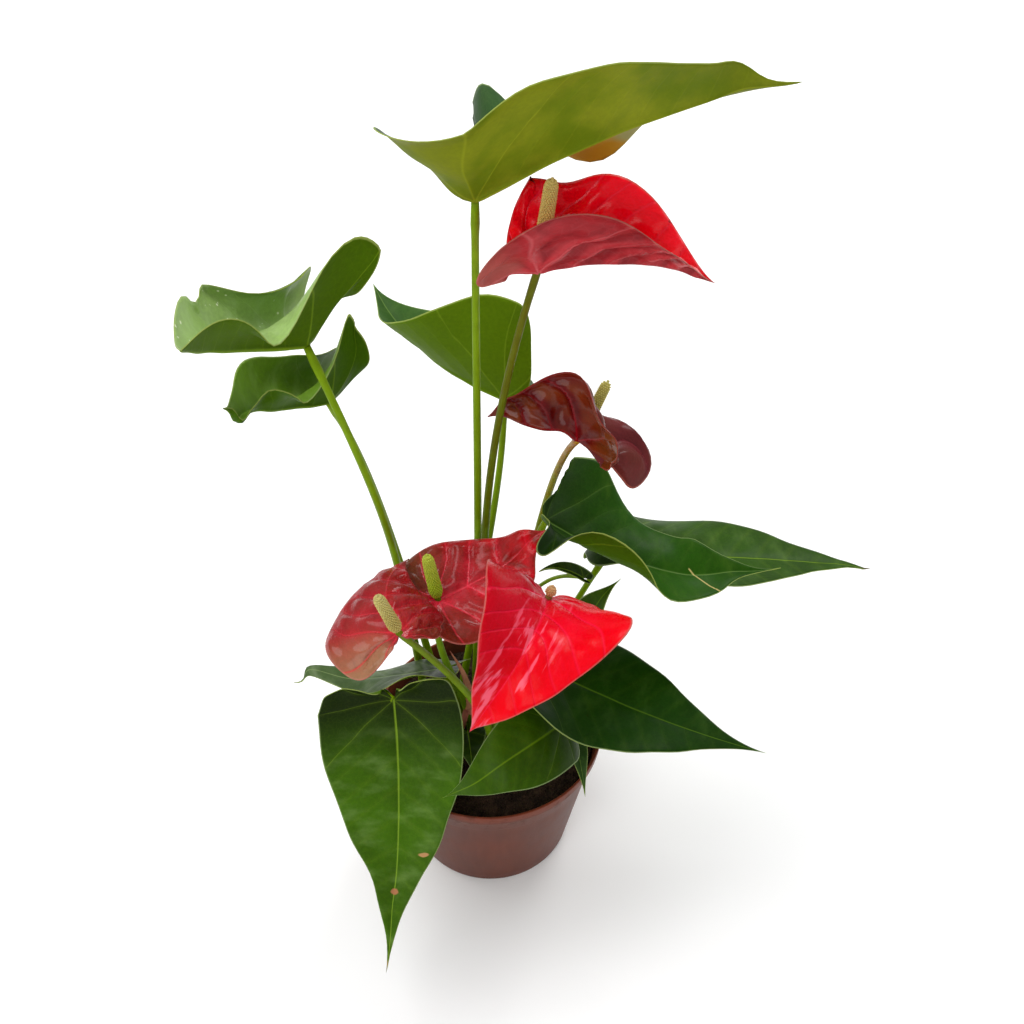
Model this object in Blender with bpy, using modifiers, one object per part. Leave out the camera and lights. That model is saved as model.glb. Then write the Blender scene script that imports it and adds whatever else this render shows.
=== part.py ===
# Potted flamingo flower: an anthurium with heart-shaped leaves and five waxy
# red blooms, in a thin-walled plastic nursery pot.
# Lengths are in millimetres and become metres where a mesh is made.
# The origin is the middle of the pot's flat base, +Z is up and -Y is the front.

import math

import bmesh
import bpy
import numpy as np

MM = 0.001

# Pot
POT_HEIGHT = 90.0
RIM_RADIUS = 60.0
BASE_RADIUS = 44.0
WALL = 1.3
LIP_HEIGHT = 6.5
LIP_STEP = 1.6
STACKING_STEP_Z = 73.0
STACKING_STEP = 0.7
STEP_FALL = 0.8
LIP_ROUND = 0.6
LIP_DRAFT = 0.5
LIP_UNDERCUT = 0.3
FLOOR_ROUND = 1.0
BASE_ROUND = 2.0
BASE_DRAFT = 0.2
BASE_EDGE = 0.6
DRAIN_HOLES = 6
DRAIN_HOLE_RADIUS = 3.5
DRAIN_CIRCLE = 25.0
DRAIN_SEGMENTS = 12
ROUND_SEGMENTS = 32

# Soil
SOIL_TOP = 81.0
SOIL_LUMP = 1.1
SOIL_EDGE_LUMP = 0.3
SOIL_FOOT = 1.5
SOIL_RINGS = 5
SOIL_GAP = 0.5
FIT_GAP = 0.3
SLEEVE_GAP = 0.6

# Blades: a heart shape, as fractions of its length and of its half width
VEIN_RAYS = 10
RINGS = 4
RING_SPREAD = 0.8
VEIN_BEND = 0.4
LEAST_ASPECT = 0.3
SINUS_ANGLE = 150.0
SMALL_VEIN_RAYS = 6
SMALL_RINGS = 3
SMALL_WIDTH = 25.0
LOBE_REACH = 0.2
STILL_RADIUS = 8.0
NUDGE = 0.001
LEAF_OUTLINE = {"widest": 0.10, "lobe": 0.17, "lobe_side": 0.62, "tip_bend": 0.30,
                "tip_width": 0.02, "sinus": 0.15}
SPATHE_OUTLINE = {"widest": 0.16, "lobe": 0.20, "lobe_side": 0.60, "tip_bend": 0.22,
                  "tip_width": 0.06, "sinus": 0.18}
LEAF_THICKNESS = 1.6
LEAF_EDGE = 0.5
LEAF_QUILT = 0.35
SPATHE_THICKNESS = 1.4
SPATHE_EDGE = 0.6
SPATHE_QUILT = 0.8
QUILT_FADE = 16.0
THICKNESS_CLAMP = 0.5
MIDRIB_FADE = 0.6
SIDE_RIB = 0.25

# Stalks
STEM_FOOT_Z = 66.0
STEM_POINTS = 10
STEM_TAPER = 0.72
STEM_SINK = 0.45
SPADIX_SEGMENTS = 10
SPADIX_ROWS = 15
SPADIX_BUMP = 0.07
SPADIX_BASE = 0.02
SPADIX_NECK = 0.62
SPADIX_NECK_RISE = 3.0
SPADIX_TAPER = 0.22
SPADIX_TIP = 0.9

BORE_RISE = 12.0

# Where each leaf grows. The junction is where the petiole meets the blade. Roll turns the
# blade about its length, twist turns its tip, arch and bow bend the midrib up and sideways,
# and the pairs are for the left and the right half: fold and curl lift the margin, lobes
# turn the basal lobes up, and each wave of the margin is its height, count and phase.
# A stem goes from its foot in the soil past rise and reach, as a smooth curve.
LEAVES = {
    "leaf_top": {
        "blade": {"junction": (-2, 10, 414), "tip": (124, 52, 439), "width": 106, "roll": -70,
                  "twist": -20, "arch": -8, "bow": -24, "fold": (50, 0), "curl": (5, -30),
                  "lobes": (60, 75), "waves": ((28, 1.4, 55), (5, 1.5, 20))},
        "stem": {"foot": (-9, 16), "rise": (-3, 24, 185), "reach": (-4, 18, 300), "radius": 2.2},
    },
    "leaf_left_upper": {
        "blade": {"junction": (-71, 0, 351), "tip": (-97, -87, 424), "width": 74, "roll": 5,
                  "twist": 15, "arch": -2, "bow": -12, "fold": (55, 20), "curl": (-25, 130),
                  "lobes": (35, -5), "waves": ((-21, 1.3, 235), (9, 1.2, 195))},
        "stem": {"foot": (-34, 22), "rise": (-46, 30, 207), "reach": (-38, -29, 271), "radius": 2.2},
    },
    "leaf_left_lower": {
        "blade": {"junction": (-69, 24, 298), "tip": (-98, -44, 358), "width": 59, "roll": 30,
                  "twist": 0, "arch": 0, "bow": -8, "fold": (25, 60), "curl": (5, 100),
                  "lobes": (40, -15), "waves": ((17, 1.3, 75), (-5, 1.2, 40))},
        "stem": {"foot": (-22, 16), "rise": (-43, 40, 158), "reach": (-54, 46, 236), "radius": 2.2},
    },
    "leaf_behind": {
        "blade": {"junction": (8, 55, 272), "tip": (-56, 120, 288), "width": 106, "roll": 65,
                  "twist": -65, "arch": -9, "bow": 5, "fold": (15, 30), "curl": (50, -5),
                  "lobes": (20, 65), "waves": ((1, 1.5, 340), (-2, 1.5, 20))},
        "stem": {"foot": (-18, 23), "rise": (-4, 52, 151), "reach": (9, 61, 218), "radius": 2.2},
    },
    "leaf_right_near": {
        "blade": {"junction": (28, 15, 231), "tip": (141, 8, 205), "width": 73, "roll": -25,
                  "twist": 15, "arch": -10, "bow": -7, "fold": (35, 5), "curl": (-5, 15),
                  "lobes": (140, 135), "waves": ((11, 1.4, 45), (15, 1.3, 335))},
        "stem": {"foot": (-2, 24), "rise": (-1, 24, 122), "reach": (12, 21, 177), "radius": 2.2},
    },
    "leaf_right_far": {
        "blade": {"junction": (60, 39, 180), "tip": (196, 43, 165), "width": 83, "roll": -25,
                  "twist": 5, "arch": 3, "bow": -4, "fold": (20, -5), "curl": (-25, 10),
                  "lobes": (75, -80), "waves": ((-4, 1.5, 315), (2, 1.5, 355))},
        "stem": {"foot": (11, 20), "rise": (27, 28, 106), "reach": (43, 34, 144), "radius": 2.2},
    },
    "leaf_right_low": {
        "blade": {"junction": (23, -8, 152), "tip": (135, -52, 137), "width": 79, "roll": -15,
                  "twist": 50, "arch": -3, "bow": -2, "fold": (0, 10), "curl": (-15, 5),
                  "lobes": (10, 40), "waves": ((0, 1.5, 0), (3, 1.5, 60))},
        "stem": {"foot": (-5, -2), "rise": (4, -4, 95), "reach": (14, -6, 123), "radius": 2.2},
    },
    "leaf_front_small": {
        "blade": {"junction": (36, -38, 141), "tip": (-22, -62, 113), "width": 41, "roll": -25,
                  "twist": 5, "arch": 27, "bow": 4, "fold": (-10, 5), "curl": (-10, -10),
                  "lobes": (-25, 10), "waves": ((1, 1.5, 0), (1, 1.5, 350))},
        "stem": {"foot": (10, -10), "rise": (19, -20, 91), "reach": (28, -29, 116), "radius": 2.0},
    },
    "leaf_front_large": {
        "blade": {"junction": (-47, -20, 136), "tip": (-50, -124, 52), "width": 78, "roll": 20,
                  "twist": -5, "arch": -16, "bow": -3, "fold": (10, 30), "curl": (-10, 0),
                  "lobes": (90, 70), "waves": ((3, 1.5, 5), (-1, 1.5, 350))},
        "stem": {"foot": (-23, -3), "rise": (-51, 5, 101), "reach": (-66, 4, 127), "radius": 2.2},
    },
    "leaf_left_low": {
        "blade": {"junction": (-25, 2, 133), "tip": (-101, 5, 116), "width": 47, "roll": 40,
                  "twist": -10, "arch": -1, "bow": 1, "fold": (0, 0), "curl": (0, -5),
                  "lobes": (15, 15), "waves": ((4, 1.5, 25), (2, 1.5, 355))},
        "stem": {"foot": (-11, 10), "rise": (-14, 9, 90), "reach": (-18, 7, 113), "radius": 1.9},
    },
    "leaf_small_left": {
        "blade": {"junction": (50, 0, 198), "tip": (24, 14, 194), "width": 15, "roll": 0,
                  "twist": 0, "arch": 5, "bow": 0, "fold": (35, 35), "curl": (0, 0),
                  "lobes": (10, 10), "waves": ((0, 1.5, 0), (0, 1.5, 0))},
        "stem": {"foot": (7, 10), "rise": (2, 36, 110), "reach": (18, 40, 172), "radius": 1.3},
    },
    "leaf_small_right": {
        "blade": {"junction": (50, -12, 191), "tip": (63, -8, 216), "width": 14, "roll": 20,
                  "twist": 0, "arch": 5, "bow": 0, "fold": (20, 20), "curl": (0, 0),
                  "lobes": (10, 10), "waves": ((0, 1.5, 0), (0, 1.5, 0))},
        "stem": {"foot": (14, 3), "rise": (41, 39, 122), "reach": (53, 36, 164), "radius": 1.3},
    },
    "leaf_rim": {
        "blade": {"junction": (43, -23, 112), "tip": (49, -51, 96), "width": 12, "roll": 0,
                  "twist": 0, "arch": 5, "bow": 0, "fold": (30, 30), "curl": (0, 0),
                  "lobes": (10, 10), "waves": ((0, 1.5, 0), (0, 1.5, 0))},
        "stem": {"foot": (5, -1), "rise": (17, -8, 82), "reach": (30, -15, 97), "radius": 1.3},
    },
    "leaf_soil": {
        "blade": {"junction": (-11, -13, 98), "tip": (-8, -36, 92), "width": 20, "roll": 0,
                  "twist": 0, "arch": 5, "bow": 0, "fold": (20, 20), "curl": (0, 0),
                  "lobes": (10, 10), "waves": ((0, 1.5, 0), (0, 1.5, 0))},
        "stem": {"foot": (-13, -7), "rise": (-12, -9, 77), "reach": (-12, -11, 87), "radius": 1.3},
    },
}

# Papery sheath at the crown, a narrow upright blade on a short foot
SHEATHS = {
    "sheath_front": {
        "blade": {"junction": (-20, -9, 88), "tip": (-15, -14, 138), "width": 11, "roll": 0,
                  "twist": 40, "arch": 3, "bow": 0, "fold": (40, 40), "curl": (20, 20),
                  "lobes": (0, 0), "waves": ((1, 1.5, 0), (1, 1.5, 90)), "thickness": 1.4,
                  "outline": {"lobe": 0.05}},
        "stem": {"foot": (-20, -9), "rise": (-20, -9, 72), "reach": (-20, -9, 80), "radius": 1.6,
                 "points": 4},
    },
}

# The five blooms. The stipe is how far the stalk stands through the spathe.
BLOOMS = {
    "top": {
        "colour": "red", "stipe": 3.0, "spadix": (0.13, 0.15, 0.98), "spadix_length": 36,
        "spadix_radius": 3.0,
        "blade": {"junction": (22, 5, 385), "tip": (94, 20, 367), "width": 72, "roll": -5,
                  "twist": 20, "arch": 8, "bow": -2, "fold": (50, 50), "curl": (10, 25),
                  "lobes": (35, -30), "waves": ((6, 1.6, 155), (5, 1.3, 5))},
        "stem": {"foot": (-2, 8), "rise": (-4, 25, 177), "reach": (-4, 11, 275), "radius": 2.1},
    },
    "middle": {
        "colour": "maroon", "stipe": 3.0, "spadix": (0.44, 0.56, 0.66), "spadix_length": 26,
        "spadix_radius": 2.7,
        "blade": {"junction": (41, 12, 286), "tip": (1, 28, 286), "width": 65, "roll": 45,
                  "twist": 10, "arch": 8, "bow": 6, "fold": (50, 45), "curl": (10, 0),
                  "lobes": (-10, -30), "waves": ((-3, 1.5, 95), (-3, 1.9, 30)),
                  "outline": {"lobe": 0.45, "widest": 0.1}},
        "stem": {"foot": (0, 15), "rise": (18, 53, 119), "reach": (29, 87, 197), "radius": 2.1},
    },
    "centre": {
        "colour": "rose", "stipe": 2.0, "spadix": (-0.18, 0.25, 0.95), "spadix_length": 23,
        "spadix_radius": 3.0,
        "blade": {"junction": (-22, -21, 216), "tip": (29, 7, 233), "width": 55, "roll": 0,
                  "twist": 5, "arch": -5, "bow": 0, "fold": (10, 0), "curl": (-5, -10),
                  "lobes": (30, 35), "waves": ((1, 1.5, 20), (-2, 1.5, 40))},
        "stem": {"foot": (-11, -3), "rise": (-5, -4, 119), "reach": (-13, -18, 164), "radius": 2.1},
    },
    "left": {
        "colour": "rose", "stipe": 2.0, "spadix": (-0.34, 0.08, 0.94), "spadix_length": 22,
        "spadix_radius": 2.9,
        "blade": {"junction": (-37, -57, 237), "tip": (-36, -2, 223), "width": 66, "roll": -45,
                  "twist": 10, "arch": 8, "bow": 3, "fold": (10, -62), "curl": (5, -10),
                  "lobes": (10, -20), "waves": ((2, 1.5, 35), (0, 1.5, 5))},
        "stem": {"foot": (-3, -16), "rise": (15, -33, 137), "reach": (-29, -42, 193), "radius": 2.1},
    },
    "front": {
        "colour": "red", "stipe": 1.5, "spadix": (0.3, 0.3, 0.9), "spadix_length": 6,
        "spadix_radius": 2.4,
        "blade": {"junction": (28, -40, 240), "tip": (-6, -95, 218), "width": 66, "roll": -25,
                  "twist": -5, "arch": 27, "bow": 0, "fold": (20, 10), "curl": (0, 0),
                  "lobes": (-10, -25), "waves": ((6, 1.5, 0), (1, 1.5, 325))},
        "stem": {"foot": (3, -9), "rise": (4, -25, 130), "reach": (-5, -47, 184), "radius": 2.1},
    },
}

# Local pulls of a blade's surface: where (the same fractions as the outline, + y on the left
# half), how far around it the pull reaches, and how far it moves the surface.
PULLS = {
    "leaf_top": (
        (-0.16, -0.75, 16, (-4.5, 4.4, 4.2)), (-0.04, -0.96, 14, (0, 4.6, 4.2)),
        (0.10, -1.0, 16, (0, 4, 3.5)), (0.34, -0.85, 22, (0, 3.4, 3.1)),
        (0.78, -0.2, 10, (0, 3.5, 3.3)), (-0.14, -0.15, 10, (0, 4, 4)), (0.0, 1.0, 14, (6, 0, 0)),
        (0.10, 1.0, 12, (-3.8, 3.3, 3.1)), (0.34, 0.85, 20, (0, -3.3, -3.1)),
        (-0.14, 0.2, 10, (6, 2, 2)),
    ),
    "leaf_left_upper": (
        (0.34, 0.85, 15, (-4.5, -7.5, -7)), (0.20, 0.95, 10, (-3.4, -2, -1.9)),
        (-0.04, 0.96, 12, (2, 1.5, 1.4)), (-0.14, 0.84, 8, (-5, 3, 3)),
        (-0.17, 0.6, 14, (-4.6, 3.8, 3.5)), (-0.14, 0.2, 8, (-3.4, 0, 0)),
        (0.45, -0.69, 7, (0, -4.6, -4.2)), (0.34, -0.85, 9, (-7, 0.4, 0.3)),
        (0.22, -0.94, 9, (-4.5, 0, 0)), (0.56, -0.51, 8, (0, 1.8, 1.7)),
    ),
    "leaf_left_lower": (
        (0.78, 0.2, 7, (0, -6, -5.5)), (0.67, 0.36, 8, (-3.7, -5.4, -5)),
        (0.56, 0.51, 8, (-4.7, 0.7, 0.7)), (0.34, 0.85, 11, (-7, -3, -2.7)),
        (0.10, 1.0, 9, (-1, 3.2, 3)), (0.0, 1.0, 6, (-4.6, -1, -1)),
        (0.56, -0.51, 10, (-1.9, 2, 1.8)), (0.34, -0.85, 9, (0, -1.6, -1.5)),
    ),
    "leaf_right_near": (
        (0.75, 0.2, 14, (0, 2, 1.8)), (0.66, 0.36, 8, (0, 2.6, 2.4)),
        (0.03, 0.99, 10, (0, -1.8, -1.7)), (0.67, -0.33, 14, (2.7, -3, -2.7)),
        (0.56, -0.51, 12, (0, -2.4, -2.3)), (0.34, -0.85, 12, (4.4, -1.2, -1.1)),
        (0.10, -1.0, 12, (-2.5, 3.8, 3.5)), (-0.04, -0.96, 9, (-1.3, -4.9, -4.6)),
    ),
    "leaf_front_large": (
        (-0.14, -0.84, 8, (0, 4.6, 4.2)), (-0.17, -0.62, 8, (-0.8, 2.8, 2.6)),
        (-0.14, -0.15, 7, (3, -4.4, -4.1)), (-0.14, 0.15, 7, (3.3, -2.8, -2.6)),
        (-0.17, 0.43, 7, (2.5, 1.6, 1.5)), (-0.17, 0.62, 7, (3, 3.6, 3.3)),
        (-0.14, 0.84, 9, (0, 2.9, 2.7)), (-0.04, 0.96, 8, (-1.7, 1.2, 1.1)),
        (0.56, 0.51, 12, (2.5, 0, 0)), (0.56, -0.51, 12, (-1.5, 0, 0)),
        (0.78, -0.16, 10, (-1.2, 0, 0)),
    ),
    "leaf_front_small": (
        (0.68, 0.35, 12, (0, -1.6, -1.5)),
    ),
    "leaf_left_low": (
        (0.78, -0.16, 9, (-7, 4.5, 4.2)), (0.62, -0.42, 7, (-3, 2.5, 2.3)),
        (1.0, 0.0, 5, (1.3, 1.8, 1.7)), (0.56, 0.51, 9, (1.3, -1.7, -1.6)),
    ),
    "spathe_left": (
        (-0.16, 0.2, 8, (0, 3, 3)), (-0.16, -0.25, 8, (-2, 3, 2.8)), (0.0, -0.96, 16, (-10, 0, 0)),
    ),
    "spathe_centre": (
        (0.75, 0.18, 9, (-3.5, -4, 7)),
    ),
    "spathe_front": (
        (0.0, -0.96, 8, (-2.6, -2.6, -2.4)), (-0.14, -0.84, 8, (-1.7, -3.6, -3.4)),
        (-0.2, -0.6, 8, (-1.5, -2.4, -2.2)), (0.40, -0.85, 10, (2.6, 0, 0)),
        (0.82, -0.18, 9, (-3.6, 0, 0)), (0.82, 0.18, 10, (0, -3.4, -3.1)),
        (0.62, 0.52, 10, (0, -2.2, -2)), (0.16, 1.0, 9, (2.6, 0, 0)),
    ),
    "spathe_top": (
        (0.0, 0.96, 12, (7, 0, 0)), (0.40, 0.85, 12, (-2.7, 1.1, 1)),
        (-0.2, -0.6, 8, (-1.3, -2.2, -2)), (0.16, -1.0, 10, (0, -1.3, -1.2)),
    ),
    "spathe_middle": (
        (0.5, 0.0, 13, (0, -5.4, -5)), (0.60, 0.52, 9, (1, -4.2, -3.9)),
        (0.35, 0.85, 9, (1.8, -3.8, -3.6)), (0.10, 1.0, 9, (-4, -5.6, -5.2)),
        (-0.11, 0.96, 8, (-6, -4.2, -3.9)), (-0.34, 0.84, 8, (-8.2, 0, 0)),
        (-0.45, 0.6, 7, (-3.6, 2.4, 2.2)), (0.35, -0.85, 9, (-1, -4.5, -4.2)),
        (0.10, -1.0, 9, (-6.3, -4.5, -4.1)), (-0.34, -0.84, 8, (3.8, -0.7, -0.7)),
        (-0.45, -0.6, 8, (5.7, 5, 4.8)), (-0.45, -0.4, 8, (5.8, 7.5, 7)),
    ),
}

SHOOT = {"path": ((-28, -14, 66), (-28, -14, 90), (-26, -17, 110), (-23, -20, 128)),
         "radius": 1.8, "tip_radius": 0.35, "points": 8}


# Small vector helpers

def unit(v):
    v = np.asarray(v, float)
    return v / np.linalg.norm(v)


def bezier(points, t):
    p0, p1, p2, p3 = (np.asarray(p, float) for p in points)
    t = np.asarray(t, float)[:, None]
    s = 1.0 - t
    return s ** 3 * p0 + 3 * s * s * t * p1 + 3 * s * t * t * p2 + t ** 3 * p3


def stalk_path(stem, tip):
    """Points from the foot in the soil to the blade's junction, with an even spread."""
    foot = (*stem["foot"], STEM_FOOT_Z)
    controls = (foot, stem["rise"], stem["reach"], tip)
    return bezier(controls, np.linspace(0.0, 1.0, stem.get("points", STEM_POINTS)))


# Blade geometry

def half_outline(outline, u):
    """Margin of the left half, for u from 0 at the tip to 1 at the sinus behind the junction."""
    widest, lobe, side = outline["widest"], outline["lobe"], outline["lobe_side"]
    sinus = outline["sinus"]
    arcs = (
        (0.0, 0.4, [(1.0, 0.0), (1.0 - outline["tip_bend"], outline["tip_width"]),
                    (widest + 0.34, 1.0), (widest, 1.0)]),
        (0.4, 0.7, [(widest, 1.0), (widest - 0.16, 1.0), (-lobe, 0.9), (-lobe, side)]),
        (0.7, 1.0, [(-lobe, side), (-lobe, side - 0.2), (-lobe, sinus + 0.1), (-0.8 * lobe, sinus)]),
    )
    points = np.zeros((len(u), 2))
    for start, end, controls in arcs:
        here = (u >= start) & (u <= end)
        points[here] = bezier(controls, (u[here] - start) / (end - start))
    return points


def vein_ray(margin, aspect, start, steps):
    """Points along a vein that leaves the junction at the start angle and bends to the margin."""
    reach = VEIN_BEND * math.hypot(margin[0], aspect * margin[1])
    bend = reach * np.array([math.cos(start), math.sin(start) / aspect])
    t = steps[:, None]
    return 2.0 * t * (1.0 - t) * bend + t * t * margin


def bent(blade, flat):
    """Places points of the flat heart in space: x runs along the midrib, y across."""
    x, y = flat[:, 0], flat[:, 1]
    junction, tip = (np.array(blade[k], float) for k in ("junction", "tip"))
    length = np.linalg.norm(tip - junction)
    half_width = blade["width"] / 2.0
    chord = (tip - junction) / length
    level = unit(np.cross((0.0, 0.0, 1.0), chord))
    above = np.cross(chord, level)
    roll = math.radians(blade["roll"])
    side = level * math.cos(roll) + above * math.sin(roll)
    face = above * math.cos(roll) - level * math.sin(roll)
    left = y >= 0.0

    def by_half(pair):
        return np.where(left, pair[0], pair[1])

    forward = np.clip(x, 0.0, 1.0)
    slope = np.arctan(4.0 * blade["arch"] * (1.0 - 2.0 * forward) / length)[:, None]
    along = np.cos(slope) * chord + np.sin(slope) * face
    normal = np.cos(slope) * face - np.sin(slope) * chord
    bulge = (4.0 * forward * (1.0 - forward))[:, None]
    spine = junction + chord * (length * forward)[:, None]
    spine = spine + (face * blade["arch"] + side * blade["bow"]) * bulge

    back = np.maximum(-x, 0.0) * length
    turn = np.radians(by_half(blade["lobes"])) / (LOBE_REACH * length) + 1e-9
    spine = spine - along * (np.sin(turn * back) / turn)[:, None]
    spine = spine + normal * ((1.0 - np.cos(turn * back)) / turn)[:, None]
    turned = (turn * back)[:, None]
    normal = normal * np.cos(turned) + along * np.sin(turned)

    twist = np.radians(blade["twist"] * x)[:, None]
    across = side * np.cos(twist) + normal * np.sin(twist)
    normal = normal * np.cos(twist) - side * np.sin(twist)

    fold = np.radians(by_half(blade["fold"]))
    curl = np.radians(by_half(blade["curl"])) / half_width + 1e-9
    reach = np.abs(y) * half_width
    outward = (np.sin(fold + curl * reach) - np.sin(fold)) / curl
    upward = (np.cos(fold) - np.cos(fold + curl * reach)) / curl
    height, count, phase = (by_half([wave[i] for wave in blade["waves"]]) for i in range(3))
    upward = upward + height * np.sin(2.0 * np.pi * count * x + np.radians(phase)) * y * y
    points = spine + across * (np.where(left, 1.0, -1.0) * outward)[:, None] + normal * upward[:, None]
    return points + pulled(blade, flat, length)


def pulled(blade, flat, length):
    """How far the blade's pulls move each point, held still where the stalk joins."""
    x, y = flat[:, 0] * length, flat[:, 1] * blade["width"] / 2.0
    shift, total = np.zeros((len(flat), 3)), np.zeros(len(flat))
    for along, beside, reach, move in blade.get("pulls", ()):
        gap = (x - along * length) ** 2 + (y - beside * blade["width"] / 2.0) ** 2
        weight = np.exp(-gap / reach ** 2)
        shift += weight[:, None] * np.array(move, float)
        total += weight
    clear = 1.0 - np.exp(-(x * x + y * y) / STILL_RADIUS ** 2)
    return shift * (clear / (1.0 + total ** 8) ** 0.125)[:, None]


def blade_surface(blade, outline, quilt):
    """Vertices, triangles and rib weights of the blade's upper face."""
    small = blade["width"] < SMALL_WIDTH
    ray_count, rings = (SMALL_VEIN_RAYS, SMALL_RINGS) if small else (VEIN_RAYS, RINGS)
    steps = (np.arange(1, rings + 1) / rings) ** RING_SPREAD
    outline = {**outline, **blade.get("outline", {})}
    u = np.arange(ray_count + 1) / ray_count
    aspect = max(LEAST_ASPECT, blade["width"] / 2.0 / math.dist(blade["tip"], blade["junction"]))
    margins = half_outline(outline, u)
    flat = [np.zeros((1, 2))]
    lift = [0.0]
    rib = [1.0]
    rays = {}
    for half in (1.0, -1.0):
        for j in range(ray_count + 1):
            if j == 0 and half < 0:
                rays[half, 0] = rays[1.0, 0]
                continue
            first = sum(len(part) for part in flat)
            ray = vein_ray(margins[j], aspect, math.radians(SINUS_ANGLE) * u[j], steps)
            ray[:, 1] = half * np.maximum(ray[:, 1], 1e-7)
            rays[half, j] = list(range(first, first + rings))
            flat.append(ray)
            swell = 0.0 if j == 0 else (-1.0 if j % 2 == 0 else 1.0)
            clear = np.clip(np.abs(ray[:, 1]) * blade["width"] / 2.0 / QUILT_FADE, 0.0, 1.0)
            lift.extend(quilt * swell * clear * np.sin(np.pi * steps))
            rib.extend(1.0 - MIDRIB_FADE * steps if j == 0 else SIDE_RIB * (1.0 - steps))
    flat = np.vstack(flat)
    points = bent(blade, flat)
    back_or_on = np.where(flat[:, 0] > 0.5, -1.0, 1.0) * NUDGE
    in_or_out = np.where(flat[:, 1] < 0.0, -1.0, 1.0) * NUDGE
    ahead = (bent(blade, flat + np.outer(back_or_on, (1.0, 0.0))) - points) * back_or_on[:, None]
    beside = (bent(blade, flat + np.outer(in_or_out, (0.0, 1.0))) - points) * in_or_out[:, None]
    normals = np.cross(ahead, beside)
    normals /= np.linalg.norm(normals, axis=1)[:, None]
    points = points + normals * np.array(lift)[:, None]

    faces = []
    for half in (1.0, -1.0):
        for j in range(ray_count):
            inner, outer = rays[half, j], rays[half, j + 1]
            strip = [(0, inner[0], outer[0])]
            for k in range(rings - 1):
                strip.append((inner[k], inner[k + 1], outer[k + 1]))
                strip.append((inner[k], outer[k + 1], outer[k]))
            faces.extend(strip if half > 0 else [(a, c, b) for a, b, c in strip])
    return points, faces, rib


# Blender helpers

def make_collection(name):
    collection = bpy.data.collections.new(name)
    bpy.context.scene.collection.children.link(collection)
    return collection


def make_material(name, colour, roughness):
    material = bpy.data.materials.new(name)
    material.use_nodes = True
    shader = material.node_tree.nodes["Principled BSDF"]
    shader.inputs["Base Color"].default_value = (*colour, 1.0)
    shader.inputs["Roughness"].default_value = roughness
    shader.inputs["Metallic"].default_value = 0.0
    material.diffuse_color = (*colour, 1.0)
    return material


def add_object(name, mesh, collection, material=None):
    thing = bpy.data.objects.new(name, mesh)
    collection.objects.link(thing)
    if material:
        mesh.materials.clear()
        mesh.materials.append(material)
    return thing


def as_cutter(thing):
    thing.hide_render = True
    thing.display_type = "WIRE"
    return thing


def tube_mesh(name, path, radii):
    """A closed tube along a path, made from a bevelled curve with welded caps."""
    curve = bpy.data.curves.new(name, "CURVE")
    curve.dimensions = "3D"
    curve.bevel_depth = MM
    curve.bevel_resolution = 2
    curve.use_fill_caps = True
    spline = curve.splines.new("POLY")
    spline.points.add(len(path) - 1)
    for point, place, radius in zip(spline.points, path, radii):
        point.co = (*(np.asarray(place) * MM), 1.0)
        point.radius = radius
    holder = bpy.data.objects.new(name, curve)
    bpy.context.scene.collection.objects.link(holder)
    depsgraph = bpy.context.evaluated_depsgraph_get()
    mesh = bpy.data.meshes.new_from_object(holder.evaluated_get(depsgraph))
    bpy.data.objects.remove(holder)
    bpy.data.curves.remove(curve)
    shape = bmesh.new()
    shape.from_mesh(mesh)
    bmesh.ops.remove_doubles(shape, verts=shape.verts, dist=1e-6)
    bmesh.ops.recalc_face_normals(shape, faces=shape.faces)
    shape.to_mesh(mesh)
    shape.free()
    mesh.shade_smooth()
    return mesh


def add_boolean(thing, operation, other):
    boolean = thing.modifiers.new(operation.title(), "BOOLEAN")
    boolean.operation = operation
    boolean.solver = "EXACT"
    boolean.use_self = True
    boolean.object = other


def stalk_radii(radius, count):
    return np.linspace(radius, radius * STEM_TAPER, count)


def ream(name, path, radii, collection):
    """A cutter that is one fit gap wider than a stalk and starts one gap lower."""
    path = np.array(path)
    path[0] += unit(path[0] - path[1]) * FIT_GAP
    mesh = tube_mesh(name, path, np.asarray(radii) + FIT_GAP)
    return as_cutter(add_object(name, mesh, collection))


# Pieces

def build_blade(name, blade, outline, thickness, edge, quilt, collection, material):
    blade = {**blade, "pulls": PULLS.get(name, ())}
    points, faces, rib = blade_surface(blade, outline, quilt)
    mesh = bpy.data.meshes.new(name)
    mesh.from_pydata([tuple(p * MM) for p in points], [], faces)
    mesh.shade_smooth()
    thing = add_object(name, mesh, collection, material)
    group = thing.vertex_groups.new(name="rib")
    for index, weight in enumerate(rib):
        group.add([index], weight, "REPLACE")
    solid = thing.modifiers.new("Thickness", "SOLIDIFY")
    solid.thickness = thickness * MM
    solid.offset = -1.0
    solid.thickness_clamp = THICKNESS_CLAMP
    solid.vertex_group = "rib"
    solid.thickness_vertex_group = edge
    return thing


def build_leaf(name, blade, stem, collection, cutters, material):
    """A blade and its petiole, grown as one piece, and the hole the petiole stands in."""
    leaf = build_blade(name, blade, LEAF_OUTLINE, blade.get("thickness", LEAF_THICKNESS), LEAF_EDGE,
                       LEAF_QUILT, collection, material)
    path = stalk_path(stem, blade["junction"])
    path[-1] += unit(path[-2] - path[-1]) * STEM_SINK
    radii = stalk_radii(stem["radius"], len(path))
    mesh = tube_mesh(name + "_petiole", path, radii)
    add_boolean(leaf, "UNION", as_cutter(add_object(mesh.name, mesh, cutters)))
    return leaf, (path, radii)


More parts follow.
